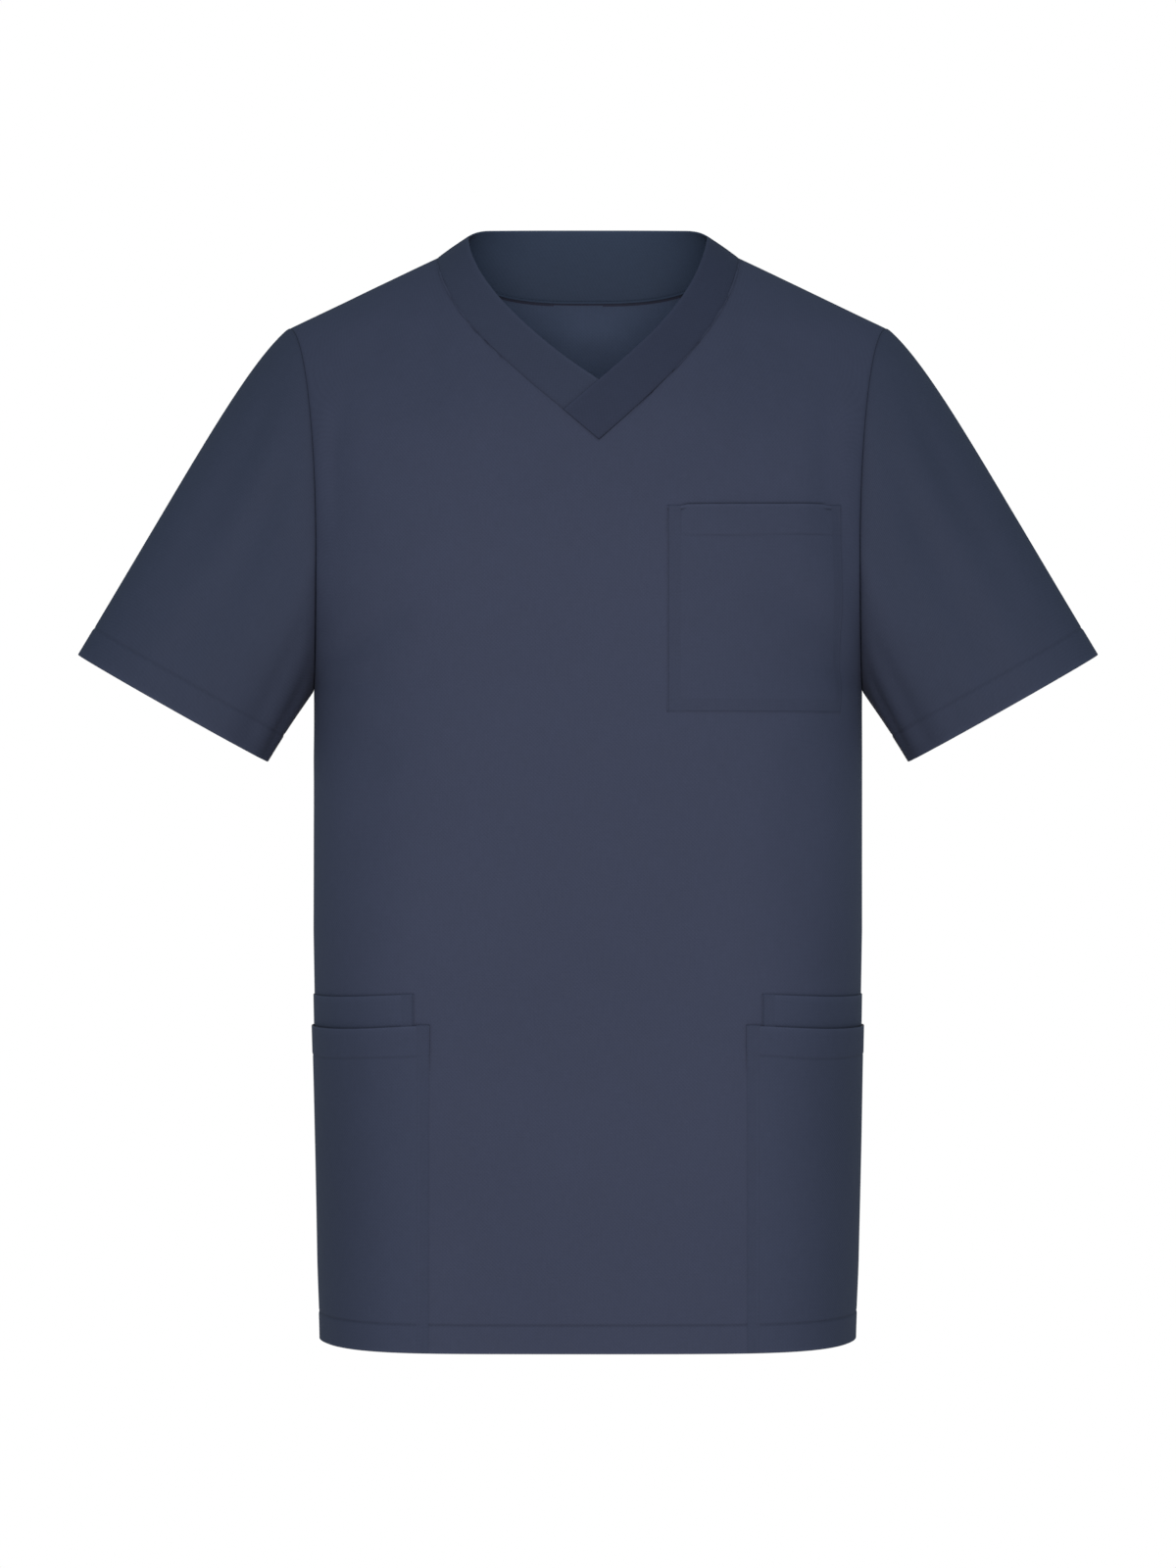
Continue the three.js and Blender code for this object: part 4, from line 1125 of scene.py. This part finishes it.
pieces = {}
for node, face in (("front", -1), ("back", 1)):
    pieces[node] = bodyPanel(node + "_panel", face, finish["navyCloth"], finish["insideLitCloth"])
for node, side in (("sleeve_left", 1), ("sleeve_right", -1)):
    pieces[node] = sleeveTube(node + "_cloth", side, finish["sleeveShadedCloth"], finish["insideLitCloth"])
for node, side, outer in (("neckband_left", 1, "bandLeftShadedCloth"), ("neckband_right", -1, "bandShadedCloth")):
    pieces[node] = frontBand(node + "_cloth", side, finish[outer], finish["bandShadedCloth"])
pieces["neckband_back"] = neckBack("neckband_back_cloth", finish["bandShadedCloth"], finish["bandInsideLitCloth"])
pieces["chest_pocket"] = breastPocket("chest_pocket_cloth", finish["doubledCloth"])
for start, sewn in (("pocket", outerLowerPocket), ("inner_pocket", innerLowerPocket)):
    for end, side in (("_left", 1), ("_right", -1)):
        pieces[start + end] = sewn(start + end + "_cloth", side, finish["pocketCloth"])

for node, piece in pieces.items():
    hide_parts(node)
stitches = {
    node: sewStitches(node + "_stitches", runs, finish["tackShadedThread" if "tack" in node else "sewingThread"])
    for node, runs in stitchRuns.items()
}

print("pieces sewn")

# Studio: white all round, a pale floor well below, soft light from in front and behind.
studio = {
    "fill": (0.38, 0.46, 0.52), "key": (1.0, 0.865, 0.827), "aim": (0, 0, -0.35),
    "front": {"at": (0.0, -2.3, -0.2), "power": 24.9, "size": 0.9},
    "back": {"at": (0.0, 2.3, -0.1), "power": 24, "size": 1.2},
}
# The camera sees little of the floor's real shading, so that the floor looks plain.
floorLook = {
    "paper": (0.86, 0.82, 0.79), "roughness": 0.9, "even": (0.8, 0.8, 0.8), "share": 0.8,
    "radius": 3.1, "thick": 0.02, "middle": -1.43,
}


def seenApart(tree, output, lit, seen, share):
    # The camera sees one shader, by its share, and all other rays meet the other one.
    ray = addNode(tree, "LightPath", {}).outputs["Is Camera Ray"]
    part = addNode(tree, "Math", {0: ray, 1: share})
    part.operation = "MULTIPLY"
    either = addNode(tree, "MixShader", {0: part.outputs[0], 1: lit, 2: seen})
    fillNode(tree, tree.nodes[output], {"Surface": either.outputs[0]})


world = bpy.data.worlds.new("studio")
bpy.context.scene.world = world
world.use_nodes = True
tree = world.node_tree
seen = tree.nodes["Background"]
fillNode(tree, seen, {"Color": (1, 1, 1, 1)})
fill = addNode(tree, "Background", {"Color": (*studio["fill"], 1)})
seenApart(tree, "World Output", fill.outputs[0], seen.outputs[0], 1)
for name in ("front", "back"):
    lamp = studio[name]
    data = bpy.data.lights.new(name + "Softbox", "AREA")
    data.shape, data.size = "DISK", lamp["size"]
    data.energy, data.color = lamp["power"], studio["key"]
    light = bpy.data.objects.new(name + "Softbox", data)
    bpy.context.scene.collection.objects.link(light)
    light.location = lamp["at"]
    towards = Vector(studio["aim"]) - Vector(lamp["at"])
    light.rotation_euler = towards.to_track_quat("-Z", "Y").to_euler()
    light.visible_camera = False
bpy.context.scene.view_settings.view_transform = "Standard"
print("lights set")

bpy.ops.object.select_all(action="DESELECT")
bpy.ops.mesh.primitive_cylinder_add(
    vertices=96, radius=floorLook["radius"], depth=floorLook["thick"], location=(0, 0, floorLook["middle"]))
floor = bpy.context.object
floor.name = "studio_floor"
bpy.ops.object.transform_apply(location=True, rotation=True, scale=True)
floorFinish = bpy.data.materials.new("palePaper")
floorFinish.use_nodes = True
tree = floorFinish.node_tree
paper = tree.nodes["Principled BSDF"]
fillNode(tree, paper, {"Base Color": (*floorLook["paper"], 1), "Roughness": floorLook["roughness"]})
even = addNode(tree, "Emission", {"Color": (*floorLook["even"], 1)})
seenApart(tree, "Material Output", paper.outputs[0], even.outputs[0], floorLook["share"])
floor.data.materials.append(floorFinish)

# The camera looks level, and its picture is 1.12 m tall where the garment hangs.
view = {"away": 3.75, "height": -0.3755, "tall": 1.12, "sensor": 36}
cameraData = bpy.data.cameras.new("photoCamera")
camera = bpy.data.objects.new("photoCamera", cameraData)
bpy.context.scene.collection.objects.link(camera)
camera.location = (0, -view["away"], view["height"])
camera.rotation_euler = (math.radians(90), 0, 0)
cameraData.sensor_width = view["sensor"]
cameraData.sensor_fit = "AUTO"
cameraData.lens = view["sensor"] * view["away"] / view["tall"]
bpy.context.scene.camera = camera
print("camera set")
